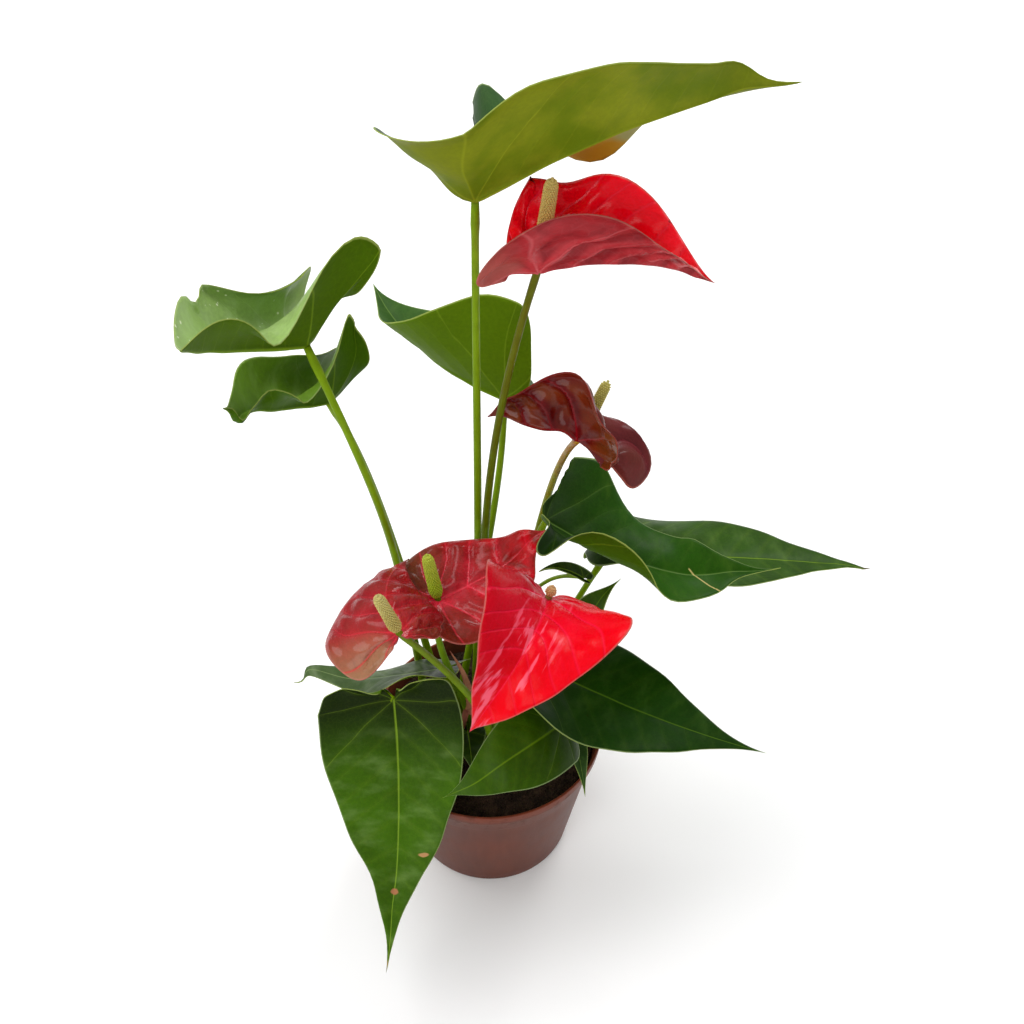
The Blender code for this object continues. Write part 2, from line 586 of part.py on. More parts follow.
def spadix_mesh(name, foot, heading, length, radius):
    """A tapering spike whose surface swells and dips in staggered rows of florets."""
    shape = bmesh.new()
    bmesh.ops.create_uvsphere(shape, u_segments=SPADIX_SEGMENTS, v_segments=SPADIX_ROWS, radius=1.0)
    heading = unit(heading)
    side = unit(np.cross(heading, (0.31, 0.95, 0.1)))
    front = np.cross(heading, side)
    for vertex in shape.verts:
        height = math.acos(max(-1.0, min(1.0, -vertex.co.z))) / math.pi
        angle = math.atan2(vertex.co.y, vertex.co.x)
        past_tip = max(0.0, (height - SPADIX_TIP) / (1.0 - SPADIX_TIP))
        round_end = math.sqrt(max(0.0, 1.0 - past_tip ** 2))
        neck = min(1.0, SPADIX_NECK + height * SPADIX_NECK_RISE) if height > SPADIX_BASE else 0.0
        row = round(height * SPADIX_ROWS)
        column = round(angle / (2.0 * math.pi) * SPADIX_SEGMENTS)
        bump = 1.0 + SPADIX_BUMP * (1 if (row + column) % 2 else -1)
        r = radius * neck * (1.0 - SPADIX_TAPER * height) * round_end * bump
        climb = max(0.0, height - SPADIX_BASE) / (1.0 - SPADIX_BASE)
        centre = np.asarray(foot) + heading * (length * climb)
        place = centre + (side * math.cos(angle) + front * math.sin(angle)) * r
        vertex.co = tuple(place * MM)
    bmesh.ops.recalc_face_normals(shape, faces=shape.faces)
    mesh = bpy.data.meshes.new(name)
    shape.to_mesh(mesh)
    shape.free()
    mesh.shade_smooth()
    return mesh


def build_bloom(place, bloom, collection, cutters, materials):
    """Peduncle, spathe and spadix. The spathe is cut one fit gap clear of the peduncle."""
    blade, stem = bloom["blade"], bloom["stem"]
    junction = np.array(blade["junction"], float)
    path = stalk_path(stem, junction)
    path = np.vstack([path, junction + unit(bloom["spadix"]) * bloom["stipe"]])
    radii = stalk_radii(stem["radius"], len(path))
    name = "peduncle_" + place
    peduncle = add_object(name, tube_mesh(name, path, radii), collection, materials["stalk"])
    spathe = build_blade("spathe_" + place, blade, SPATHE_OUTLINE, SPATHE_THICKNESS, SPATHE_EDGE,
                         SPATHE_QUILT, collection, materials[bloom["colour"]])
    mesh = tube_mesh(name + "_sleeve", path[-4:], radii[-4:] + SLEEVE_GAP)
    add_boolean(spathe, "DIFFERENCE", as_cutter(add_object(mesh.name, mesh, cutters)))
    foot = path[-1] + unit(bloom["spadix"]) * FIT_GAP
    mesh = spadix_mesh("spadix_" + place, foot, bloom["spadix"], bloom["spadix_length"],
                       bloom["spadix_radius"])
    add_object("spadix_" + place, mesh, collection, materials["spadix"])
    return path, radii


def build_pot(collection, cutters, material):
    """A turned thin-walled pot: lip, stacking step, taper and a flat base with drain holes."""
    inner_base = BASE_RADIUS - WALL
    wall_top = RIM_RADIUS - LIP_STEP
    step_radius = BASE_RADIUS + (wall_top - BASE_RADIUS) * STACKING_STEP_Z / POT_HEIGHT
    profile = [
        (0.0, WALL),
        (inner_base - FLOOR_ROUND, WALL),
        (inner_base, WALL + FLOOR_ROUND),
        (step_radius - WALL, STACKING_STEP_Z),
        (wall_top - WALL, POT_HEIGHT - LIP_HEIGHT),
        (RIM_RADIUS - WALL, POT_HEIGHT - LIP_ROUND),
        (RIM_RADIUS - WALL / 2.0, POT_HEIGHT),
        (RIM_RADIUS, POT_HEIGHT - LIP_ROUND),
        (RIM_RADIUS - LIP_DRAFT, POT_HEIGHT - LIP_HEIGHT),
        (wall_top, POT_HEIGHT - LIP_HEIGHT - LIP_UNDERCUT),
        (step_radius + STACKING_STEP, STACKING_STEP_Z),
        (step_radius, STACKING_STEP_Z - STEP_FALL),
        (BASE_RADIUS + BASE_DRAFT, BASE_ROUND),
        (BASE_RADIUS - BASE_EDGE, BASE_EDGE),
        (BASE_RADIUS - BASE_ROUND, 0.0),
        (0.0, 0.0),
    ]
    mesh = bpy.data.meshes.new("pot")
    edges = [(i, i + 1) for i in range(len(profile) - 1)]
    mesh.from_pydata([(r * MM, 0.0, z * MM) for r, z in profile], edges, [])
    pot = add_object("pot", mesh, collection, material)
    screw = pot.modifiers.new("Turned", "SCREW")
    screw.axis = "Z"
    screw.steps = screw.render_steps = ROUND_SEGMENTS
    screw.use_merge_vertices = True
    screw.merge_threshold = 0.00001
    for i in range(DRAIN_HOLES):
        angle = 2.0 * math.pi * i / DRAIN_HOLES
        shape = bmesh.new()
        bmesh.ops.create_cone(shape, cap_ends=True, segments=DRAIN_SEGMENTS,
                              radius1=DRAIN_HOLE_RADIUS * MM, radius2=DRAIN_HOLE_RADIUS * MM,
                              depth=4.0 * WALL * MM)
        drill_mesh = bpy.data.meshes.new("drain_hole_%d" % (i + 1))
        shape.to_mesh(drill_mesh)
        shape.free()
        drill = as_cutter(add_object(drill_mesh.name, drill_mesh, cutters))
        drill.location = (DRAIN_CIRCLE * math.cos(angle) * MM, DRAIN_CIRCLE * math.sin(angle) * MM, 0.0)
        add_boolean(pot, "DIFFERENCE", drill)
    return pot


def soil_height(x, y):
    """Gentle lumps of the soil's top, with no random part."""
    return SOIL_LUMP * (math.sin(0.21 * x + 1.3) * math.cos(0.17 * y) + 0.5 * math.sin(0.43 * (x - y)))


def build_soil(collection, material, bored):
    """The filling, a turned solid with a lumpy top, bored for every stalk."""
    wall_top = RIM_RADIUS - LIP_STEP

    def inner_radius(z):
        return BASE_RADIUS + (wall_top - BASE_RADIUS) * z / POT_HEIGHT - WALL - SOIL_GAP

    floor = WALL + FIT_GAP
    edge = inner_radius(SOIL_TOP)
    profile = [(edge * i / SOIL_RINGS, SOIL_TOP) for i in range(SOIL_RINGS + 1)]
    foot = floor + SOIL_FOOT
    profile += [(inner_radius(foot), foot), (inner_radius(floor) - SOIL_FOOT, floor), (0.0, floor)]
    mesh = bpy.data.meshes.new("soil")
    shape = bmesh.new()
    rings = []
    for r, z in profile:
        if r == 0.0:
            lump = soil_height(0.0, 0.0) if z == SOIL_TOP else 0.0
            rings.append([shape.verts.new((0.0, 0.0, (z + lump) * MM))])
            continue
        ring = []
        for i in range(ROUND_SEGMENTS):
            angle = 2.0 * math.pi * i / ROUND_SEGMENTS
            x, y = r * math.cos(angle), r * math.sin(angle)
            share = 1.0 if r < edge else SOIL_EDGE_LUMP
            lump = soil_height(x, y) * share if z == SOIL_TOP else 0.0
            ring.append(shape.verts.new((x * MM, y * MM, (z + lump) * MM)))
        rings.append(ring)
    for inner, outer in zip(rings, rings[1:]):
        for i in range(ROUND_SEGMENTS):
            j = (i + 1) % ROUND_SEGMENTS
            if len(inner) == 1:
                shape.faces.new((inner[0], outer[i], outer[j]))
            elif len(outer) == 1:
                shape.faces.new((inner[j], inner[i], outer[0]))
            else:
                shape.faces.new((inner[i], outer[i], outer[j], inner[j]))
    bmesh.ops.recalc_face_normals(shape, faces=shape.faces)
    bmesh.ops.triangulate(shape, faces=shape.faces)
    shape.to_mesh(mesh)
    shape.free()
    soil = add_object("soil", mesh, collection, material)
    boolean = soil.modifiers.new("Bores", "BOOLEAN")
    boolean.operation = "DIFFERENCE"
    boolean.solver = "EXACT"
    boolean.operand_type = "COLLECTION"
    boolean.collection = bored
    return soil


def build_shoot(collection, material):
    """The pink new shoot, a closed spike of rolled young leaf."""
    path = bezier(SHOOT["path"], np.linspace(0.0, 1.0, SHOOT["points"]))
    radii = np.linspace(SHOOT["radius"], SHOOT["tip_radius"], SHOOT["points"])
    add_object("new_shoot", tube_mesh("new_shoot", path, radii), collection, material)
    return path, radii


def main():
    for thing in list(bpy.data.objects):
        bpy.data.objects.remove(thing)
    plant = make_collection("potted_flamingo_flower")
    cutters = make_collection("cutters")
    bores = make_collection("stalk_bores")
    leaf_green = make_material("leaf_green", (0.055, 0.11, 0.02), 0.38)
    materials = {
        "stalk": make_material("stalk_green", (0.22, 0.30, 0.05), 0.45),
        "red": make_material("spathe_red", (0.70, 0.01, 0.03), 0.25),
        "maroon": make_material("spathe_maroon", (0.28, 0.02, 0.02), 0.25),
        "rose": make_material("spathe_rose", (0.50, 0.07, 0.07), 0.3),
        "spadix": make_material("spadix_cream", (0.55, 0.48, 0.17), 0.6),
    }
    sheath_brown = make_material("sheath_brown", (0.33, 0.16, 0.12), 0.7)
    stalks = []
    for name, leaf in LEAVES.items():
        _, stalk = build_leaf(name, leaf["blade"], leaf["stem"], plant, cutters, leaf_green)
        stalks.append((name, stalk))
    for name, leaf in SHEATHS.items():
        _, stalk = build_leaf(name, leaf["blade"], leaf["stem"], plant, cutters, sheath_brown)
        stalks.append((name, stalk))
    for place, bloom in BLOOMS.items():
        stalks.append(("peduncle_" + place, build_bloom(place, bloom, plant, cutters, materials)))
    stalks.append(("new_shoot", build_shoot(plant, make_material("shoot_pink", (0.55, 0.2, 0.16), 0.5))))
    for name, (path, radii) in stalks:
        low = max(2, int(np.sum(path[:, 2] < SOIL_TOP + BORE_RISE)) + 1)
        ream(name + "_bore", path[:low], radii[:low], bores)
    build_pot(plant, cutters, make_material("pot_brown", (0.22, 0.08, 0.06), 0.4))
    build_soil(plant, make_material("soil_brown", (0.03, 0.02, 0.014), 0.95), bores)


main()
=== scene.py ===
import math

import bmesh
import bpy
import numpy as np
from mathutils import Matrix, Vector


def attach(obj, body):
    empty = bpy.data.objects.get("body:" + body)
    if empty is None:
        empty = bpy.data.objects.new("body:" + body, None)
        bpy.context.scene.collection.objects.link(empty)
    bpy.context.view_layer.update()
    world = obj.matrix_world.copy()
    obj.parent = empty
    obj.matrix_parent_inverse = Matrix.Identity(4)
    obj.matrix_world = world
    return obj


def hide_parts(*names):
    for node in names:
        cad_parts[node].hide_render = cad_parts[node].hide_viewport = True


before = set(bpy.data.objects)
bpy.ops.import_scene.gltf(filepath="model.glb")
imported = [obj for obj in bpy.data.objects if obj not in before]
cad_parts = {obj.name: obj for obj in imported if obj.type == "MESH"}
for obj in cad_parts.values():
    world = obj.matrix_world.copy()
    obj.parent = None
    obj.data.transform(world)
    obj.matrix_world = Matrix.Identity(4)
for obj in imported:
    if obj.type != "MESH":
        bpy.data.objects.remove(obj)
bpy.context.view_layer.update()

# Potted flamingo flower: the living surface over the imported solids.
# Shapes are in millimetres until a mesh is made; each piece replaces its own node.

mm = 0.001


# Colours and shader maths

def paint(colour):
    # a colour as it looks on screen, 0 to 255, made linear
    return tuple((c / 255.0 / 12.92) if c < 11 else (((c / 255.0) + 0.055) / 1.055) ** 2.4
                 for c in colour) + (1.0,)


def scaled(colour, share):
    return tuple(c * share for c in colour)


class Socket:
    # wraps one shader socket, so that sums and products of sockets add Math nodes

    def __init__(self, tree, link=None):
        self.tree, self.link = tree, link

    def node(self, kind, settings=None, inputs=None, output=0):
        made = self.tree.nodes.new("ShaderNode" + kind)
        for name, value in (settings or {}).items():
            setattr(made, name, value)
        for name, value in (inputs or {}).items():
            if isinstance(value, Socket):
                self.tree.links.new(value.link, made.inputs[name])
            else:
                made.inputs[name].default_value = value
        return Socket(self.tree, made.outputs[output])

    def maths(self, operation, *others):
        return self.node("Math", {"operation": operation}, dict(enumerate((self,) + others)))

    def __add__(self, other):
        return self.maths("ADD", other)

    def __mul__(self, other):
        return self.maths("MULTIPLY", other)

    __radd__, __rmul__ = __add__, __mul__

    def __sub__(self, other):
        return self.maths("SUBTRACT", other)

    def __rsub__(self, other):
        return self * -1.0 + other

    def __abs__(self):
        return self.maths("ABSOLUTE")

    def rise(self, low, high):
        # 0 up to low, 1 from high on, smooth between; falls where low is above high
        return self.node("MapRange", {"interpolation_type": "SMOOTHSTEP"},
                         {0: self, 1: low, 2: high, 3: 0.0, 4: 1.0})

    def between(self, dark, light):
        # this mask mixes two colours, each a socket or a colour on screen
        dark, light = (c if isinstance(c, Socket) else paint(c) for c in (dark, light))
        return self.node("Mix", {"data_type": "RGBA"}, {0: self, 6: dark, 7: light}, 2)

    def vectors(self, operation, other=(0.0, 0.0, 0.0), output=0):
        return self.node("VectorMath", {"operation": operation}, {0: self, 1: other}, output)

    def stretched(self, x, y, z):
        return self.vectors("MULTIPLY", (x, y, z))

    def noise(self, scale, detail=3.0):
        return self.node("TexNoise", {}, {"Vector": self, "Scale": scale, "Detail": detail,
                                          "Roughness": 0.55})

    def cells(self, scale, feature="DISTANCE_TO_EDGE", space="3D"):
        return self.node("TexVoronoi", {"feature": feature, "voronoi_dimensions": space},
                         {"Vector": self, "Scale": scale})

    def past(self, x, y):
        # this place of the flat blade, counted from another one in mm
        return self.vectors("SUBTRACT", (x * mm, y * mm, 0.0))

    def toward(self, x, y):
        # how far this place lies along a direction of the flat blade
        return self.vectors("DOT_PRODUCT", (x, y, 0.0), 1)

    def spot(self, x, y, radius, stretch):
        # 1 inside a ragged spot of the flat blade
        away = self.past(x, y).stretched(1.0 / stretch, 1.0, 0.0).vectors("LENGTH", output=1)
        away = away + (self.noise(600.0 / radius, 2.0) - 0.5) * (0.9 * radius * mm)
        return away.rise(radius * mm, 0.6 * radius * mm)

    def scar(self, x, y, toX, toY, width):
        # 1 on a thin broken line of the flat blade, from one point to another
        length = math.hypot(toX - x, toY - y)
        ahead, beside = (toX - x) / length, (toY - y) / length
        there = self.past(x, y)
        along = there.toward(ahead, beside)
        ends = along.rise(-width * mm, width * mm) * along.rise((length + width) * mm, (length - width) * mm)
        line = ends * abs(there.toward(-beside, ahead)).rise(width * mm, 0.3 * width * mm)
        return line * self.noise(700.0, 2.0).rise(0.1, 0.4)


def startMaterial(name, roughness=0.5, coat=0.0, coatRoughness=0.1, subsurface=0.0, specular=0.5):
    material = bpy.data.materials.new(name)
    material.use_nodes = True
    shader = material.node_tree.nodes["Principled BSDF"]
    constants = {"Roughness": roughness, "Coat Weight": coat, "Coat Roughness": coatRoughness,
                 "Specular IOR Level": specular, "Subsurface Weight": subsurface,
                 "Subsurface Radius": (0.6, 0.5, 0.2), "Subsurface Scale": 0.002}
    for socket, value in constants.items():
        shader.inputs[socket].default_value = value
    return material, shader, Socket(material.node_tree)


def finishMaterial(material, shader, colour, roughness, height, depth, strength, coat=None):
    bump = height.node("Bump", {}, {"Height": height, "Distance": depth, "Strength": strength})
    links = {"Base Color": colour, "Roughness": roughness, "Normal": bump, "Coat Weight": coat}
    for socket, made in links.items():
        if made is not None:
            material.node_tree.links.new(made.link, shader.inputs[socket])
    return material


def flatPlace(start):
    return start.node("UVMap", {"uv_map": "flat"})


def objectPlace(start):
    return start.node("TexCoord", {}, {}, 3)


def attribute(start, name):
    return start.node("Attribute", {"attribute_name": name}, {}, 2)


def layered(colour, *layers):
    # lays one tint after another over a colour, each where its mask is
    for mask, tint in layers:
        colour = mask.between(colour, tint)
    return colour


def veinMasks(start, lineWidth):
    # the side veins, the stronger veins of the base, the midrib and the margin, each as a mask
    place = flatPlace(start)
    across = place.node("SeparateXYZ", {}, {0: place}, 1)
    vein = attribute(start, "vein")
    fromVein = abs((vein + 0.5).maths("FRACT") - 0.5) * attribute(start, "pitch")
    side = fromVein.rise(lineWidth, 0.0)
    basal = side * vein.rise(0.6, 0.1)
    rib = abs(across).rise(attribute(start, "rib") * mm, 0.0)
    margin = attribute(start, "edge").rise(0.8, 0.3)
    return place, fromVein, side, basal, rib, margin


def blemishes(place, spots, scars=()):
    # the marks of a photographed blade: where, how large, how drawn out, and last the tint
    return [(place.spot(*where), tint) for *where, tint in spots] + [
        (place.scar(*where), tint) for *where, tint in scars]


# waves or cells of each pattern per metre
leafGrain = {"patch": 24.0, "bloom": 95.0, "net": 420.0, "fine": 520.0, "pore": 1700.0,
             "speck": 230.0, "speckFlock": 42.0, "speckGap": 210.0, "mottle": 38.0, "underFine": 600.0}


def leafSkin(name, look, spots=(), scars=()):
    # a blade's upper face: leathery, satin, faint veins, a cloudy bloom painted as sheen, painted shade
    # toward the junction and a pale hair line at the margin
    material, shader, start = startMaterial(
        name, specular=0.045, coat=look.get("coat", 0.06), coatRoughness=0.28)
    place, fromVein, side, basal, rib, margin = veinMasks(start, 0.5)
    base, pale = look["base"], look["vein"]
    patches = place.noise(leafGrain["patch"], 4.0).rise(0.3, 0.75)
    grain = place.noise(leafGrain["fine"], 2.0).rise(0.25, 0.8)
    net = place.cells(leafGrain["net"]).rise(0.08, 0.0)
    # painted sheen: the paler cloudy bloom colour stands for reflections of the white surroundings on the
    # satin face
    bloom = place.stretched(1.0, 0.5, 1.0).noise(leafGrain["bloom"], 5.0).rise(0.46, 0.78)
    # painted shade: the blade is darkened toward its junction and lobes, where shade falls, by each look's
    # shade share
    shade = place.toward(1.0, 0.0).rise(0.04, -0.004)
    colour = layered(
        (patches * 0.7 + grain * 0.3).between(scaled(base, 0.74), base),
        (bloom * look.get("sheenShare", 0.3), look["bloom"]),
        (shade * look.get("shade", 0.3), scaled(base, 0.36)),
        (net * 0.03 + fromVein.rise(2.6, 0.2) * 0.05, pale),
        (side * 0.02 + basal * 0.2, pale),
        (rib * 0.75, pale),
        (margin * 0.6, look.get("margin", (150, 172, 112))))
    if "speck" in look:
        speck = place.cells(leafGrain["speck"], "F1", "2D").rise(0.17, 0.08)
        speck = speck * place.noise(leafGrain["speckFlock"], 2.0).rise(0.52, 0.58)
        speck = speck * place.noise(leafGrain["speckGap"], 1.0).rise(0.5, 0.56)
        colour = (speck * 0.8).between(colour, look["speck"])
    colour = layered(colour, *blemishes(place, spots, scars))
    height = net * -0.2 + grain * 0.2 + side * -0.5 + basal * -0.5
    height = height + place.noise(leafGrain["pore"], 1.0) * 0.1
    return finishMaterial(material, shader, colour, 0.4 + grain * 0.1 + bloom * 0.08, height, 0.0002, 0.5)


def leafUnderskin(name, look, spots=()):
    # a blade's lower face: brighter, duller, with raised veins a little paler
    material, shader, start = startMaterial(name, specular=0.03)
    place, _, side, basal, rib, margin = veinMasks(start, 0.7)
    base, pale = look["under"], look["underVein"]
    patches = place.noise(leafGrain["patch"], 4.0).rise(0.3, 0.75)
    grain = place.noise(leafGrain["underFine"], 2.0).rise(0.25, 0.8)
    colour = (patches * 0.6 + grain * 0.4).between(scaled(base, 0.84), base)
    if "mottle" in look:
        mottle = place.noise(leafGrain["mottle"], 3.0).rise(0.4, 0.68)
        colour = (mottle * 0.75).between(colour, look["mottle"])
    net = place.cells(leafGrain["net"]).rise(0.1, 0.0)
    colour = layered(
        colour, (net * 0.05, pale), (side * 0.1 + basal * 0.35, pale), (rib * 0.7, pale),
        *blemishes(place, spots), (margin * 0.6, look.get("margin", (168, 182, 96))))
    rough, height = 0.46 + grain * 0.12, grain * 0.2 + side * 0.5
    return finishMaterial(material, shader, colour, rough, height, 0.0002, 0.45)


spatheGrain = {"patch": 30.0, "blister": 55.0, "fade": 45.0, "ray": 60.0, "net": 260.0, "fine": 700.0,
               "streak": 270.0, "crease": 150.0, "dent": 190.0}


def spatheSkin(name, look, under=False):
    # waxy spathe: lacquer gloss over a blistered skin, with tinted blisters, fading lobes, painted highlight
    # streaks and, where a look asks, a half darkened as painted shade
    material, shader, start = startMaterial(name, coatRoughness=0.14, specular=0.03)
    place, fromVein, side, basal, rib, margin = veinMasks(start, 0.9)
    across, lobeShare, tint = place.toward(0.0, 1.0), attribute(start, "lobe"), look["vein"]
    patches = place.noise(spatheGrain["patch"], 4.0).rise(0.32, 0.72)
    coat = patches * 0.04 + look.get("coat", 0.12)
    grain = place.noise(spatheGrain["fine"], 2.0).rise(0.25, 0.8)
    colour = (patches * 0.9 + grain * 0.1).between(look["dark"], look["base"])
    # painted shade: the right half is darkened as if turned from the light
    if "half" in look:  # the right half is deeper
        colour = (across.rise(0.008, -0.012) * 0.85).between(colour, look["half"])
    if "blister" in look:
        blister = fromVein.rise(1.2, 3.6) * place.noise(spatheGrain["blister"], 3.0).rise(0.3, 0.62)
        colour = (blister * 0.85).between(colour, look["blister"])
    if "lobe" in look:
        fade = lobeShare * (0.55 + place.noise(spatheGrain["fade"], 3.0) * 0.9)
        lobe = across.rise(-0.004, 0.004).between(look.get("rightLobe", look["lobe"]), look["lobe"])
        colour = (fade.rise(look["lobeFrom"], look["lobeTo"]) * 0.9).between(colour, lobe)
    rays = place.noise(spatheGrain["ray"], 2.0).rise(0.3, 0.6) * 0.5 + side * 0.5 + 0.2
    glow = attribute(start, "heart") * (1.0 - lobeShare * 0.85) * rays
    veins = side * (0.1 + glow * 0.45 + lobeShare * look.get("lobeVeins", 0.0)) + basal * 0.12 + rib * 0.45
    colour = layered(
        colour, (glow * look.get("glow", 0.3), tint), (veins.maths("MINIMUM", 1.0), tint),
        (place.cells(spatheGrain["net"]).rise(0.06, 0.0) * 0.07, tint))
    # painted highlight: pale pink streaks stand for gloss reflections on the crumpled skin, with more coat
    # where they lie
    if "streak" in look:
        streak = place.stretched(0.2, 1.0, 1.0).noise(spatheGrain["streak"], 3.0).rise(0.54, 0.63)
        streak = streak * abs(across).rise(0.017, 0.004)
        colour = (streak * 0.45).between(colour, look["streak"])
        coat = streak * 0.3 + coat
    colour = (margin * 0.5).between(colour, look.get("margin", (190, 110, 96)))
    rough = 0.22 + grain * 0.1 + patches * 0.05 + (0.14 if under else 0.0)
    creases = place.stretched(0.35, 1.0, 1.0).noise(spatheGrain["crease"], 3.0) * 1.2
    creases = creases + place.noise(spatheGrain["dent"], 2.0) * 0.9
    height = grain * 0.06 + side * -0.5 + creases * look.get("crease", 1.0)
    return finishMaterial(material, shader, colour, rough, height, 0.0008, 0.7, coat)


def stalkSkin(name, low, high, turn=0.7):
    # a smooth fleshy stalk with fine lengthwise lines, from one colour at the foot to another at the top
    material, shader, start = startMaterial(name, specular=0.06, coat=0.03, coatRoughness=0.2)
    place, climb = flatPlace(start), attribute(start, "climb")
    lines = place.stretched(1.0, 0.03, 1.0).noise(2600.0, 2.0).rise(0.3, 0.75)
    mottle = place.noise(110.0, 3.0).rise(0.3, 0.75)
    colour = layered(
        (climb + mottle * 0.25).rise(turn - 0.35, turn + 0.3).between(low, high),
        (lines * 0.3, [min(255, c * 1.3 + 8) for c in low]),
        (mottle * 0.3, scaled(low, 0.6)),
        (climb.rise(0.09, 0.0), (170, 150, 104)))
    return finishMaterial(material, shader, colour, 0.38 + mottle * 0.12, lines, 0.00012, 0.5)


def spadixSkin(name, low, high):
    material, shader, start = startMaterial(name, roughness=0.55, specular=0.15, subsurface=0.1)
    grain = objectPlace(start).noise(900.0, 2.0).rise(0.3, 0.75)
    colour = attribute(start, "climb").rise(0.15, 0.85).between(low, high)
    colour = (grain * 0.35).between(colour, scaled(low, 0.72))
    return finishMaterial(material, shader, colour, None, grain, 0.0001, 0.4)


# Objects and Geometry Nodes

def stand(name, data):
    # puts an object with this mesh, light or camera in the scene
    thing = bpy.data.objects.new(name, data)
    bpy.context.scene.collection.objects.link(thing)
    return thing


def meshFrom(shape, name):
    mesh = bpy.data.meshes.new(name)
    shape.to_mesh(mesh)
    shape.free()
    return mesh


def growTree(name, sizes, plan):
    # a Geometry Nodes tree from its named inputs and its nodes in order; what the plan calls "placed" is
    # joined to what it stands on, made real and given its skin
    tree = bpy.data.node_groups.new(name, "GeometryNodeTree")
    for label, kind in {"Geometry": "Geometry", **sizes, "Skin": "Material"}.items():
        tree.interface.new_socket(label, in_out="INPUT", socket_type="NodeSocket" + kind)
    tree.interface.new_socket("Geometry", in_out="OUTPUT", socket_type="NodeSocketGeometry")
    ending = (
        ("both", "GeometryNodeJoinGeometry", {}, {0: "placed + given.Geometry"}),
        ("real", "GeometryNodeRealizeInstances", {}, {0: "both"}),
        ("skinned", "GeometryNodeSetMaterial", {}, {"Geometry": "real", "Material": "given.Skin"}),
        ("result", "NodeGroupOutput", {}, {0: "skinned"}))
    made = {"given": tree.nodes.new("NodeGroupInput")}
    for label, kind, settings, inputs in plan + ending:
        node = made[label] = tree.nodes.new(kind)
        for key, value in settings.items():
            setattr(node, key, value)
        for key, value in inputs.items():
            if not isinstance(value, str):
                node.inputs[key].default_value = value
                continue
            for source in value.split(" + "):  # a node, or a node and the name of its output
                origin, _, output = source.partition(".")
                tree.links.new(made[origin].outputs[output or 0], node.inputs[key])
    return tree


def runTree(thing, tree, values):
    # sets a modifier's inputs by identifier, then turns the result into a plain mesh
    modifier = thing.modifiers.new(tree.name, "NODES")
    modifier.node_group = tree
    sockets = {item.name: item.identifier for item in tree.interface.items_tree if item.in_out == "INPUT"}
    for name, value in values.items():
        modifier[sockets[name]] = value
    view = bpy.context.evaluated_depsgraph_get()
    mesh = bpy.data.meshes.new_from_object(thing.evaluated_get(view))
    thing.modifiers.remove(modifier)
    old, thing.data = thing.data, mesh
    bpy.data.meshes.remove(old)
    return thing


# Blades: one bent heart for every leaf, sheath and spathe

leafHeart = {"widest": 0.1, "lobe": 0.17, "lobeSide": 0.62, "tipBend": 0.3, "tipWidth": 0.02, "sinus": 0.15}
spatheHeart = {"widest": 0.16, "lobe": 0.2, "lobeSide": 0.6, "tipBend": 0.22, "tipWidth": 0.06,
               "sinus": 0.18}
bladeMesh = {"rays": 72, "rings": 34, "smallRays": 36, "smallRings": 14, "smallWidth": 25.0, "veinBend": 0.4,
             "leastAspect": 0.3, "sinusAngle": 150.0, "lobeReach": 0.2, "stillRadius": 8.0, "nudge": 0.001,
             "heartEdge": 20.0, "wander": 0.018, "wanderSize": 30.0, "wanderReach": 14.0}


def unit(v):
    v = np.asarray(v, float)
    return v / np.linalg.norm(v)


def bezier(points, t):
    p0, p1, p2, p3 = (np.asarray(p, float) for p in points)
    t = np.asarray(t, float)[:, None]
    s = 1.0 - t
    return s ** 3 * p0 + 3 * s * s * t * p1 + 3 * s * t * t * p2 + t ** 3 * p3


def travelled(path):
    # how far along a path each of its points lies
    return np.concatenate([[0.0], np.cumsum(np.linalg.norm(np.diff(path, axis=0), axis=1))])


def smooth(value, low, high):
    t = np.clip((value - low) / (high - low), 0.0, 1.0)
    return t * t * (3.0 - 2.0 * t)


def ripple(seed, u, v, size):
    # gentle irregular waves of a surface, from a few seeded sines
    draw = np.random.default_rng(seed)
    total = np.zeros_like(u)
    for i in range(6):
        angle, phase = draw.uniform(0.0, 2.0 * math.pi, 2)
        scale = 2.0 * math.pi / (size * draw.uniform(0.6, 1.7))
        total += np.sin((u * math.cos(angle) + v * math.sin(angle)) * scale + phase)
    return total / 6.0


def halfOutline(heart, u):
    # margin of the left half, from the tip at 0 round the lobe to the sinus at 1
    widest, lobe, side, sinus = (heart[key] for key in ("widest", "lobe", "lobeSide", "sinus"))
    nearTip = (1.0 - heart["tipBend"], heart["tipWidth"])
    arcs = (
        (0.0, 0.4, [(1.0, 0.0), nearTip, (widest + 0.34, 1.0), (widest, 1.0)]),
        (0.4, 0.7, [(widest, 1.0), (widest - 0.16, 1.0), (-lobe, 0.9), (-lobe, side)]),
        (0.7, 1.0, [(-lobe, side), (-lobe, side - 0.2), (-lobe, sinus + 0.1), (-0.8 * lobe, sinus)]))
    points = np.zeros((len(u), 2))
    for start, end, controls in arcs:
        here = (u >= start) & (u <= end)
        points[here] = bezier(controls, (u[here] - start) / (end - start))
    return points


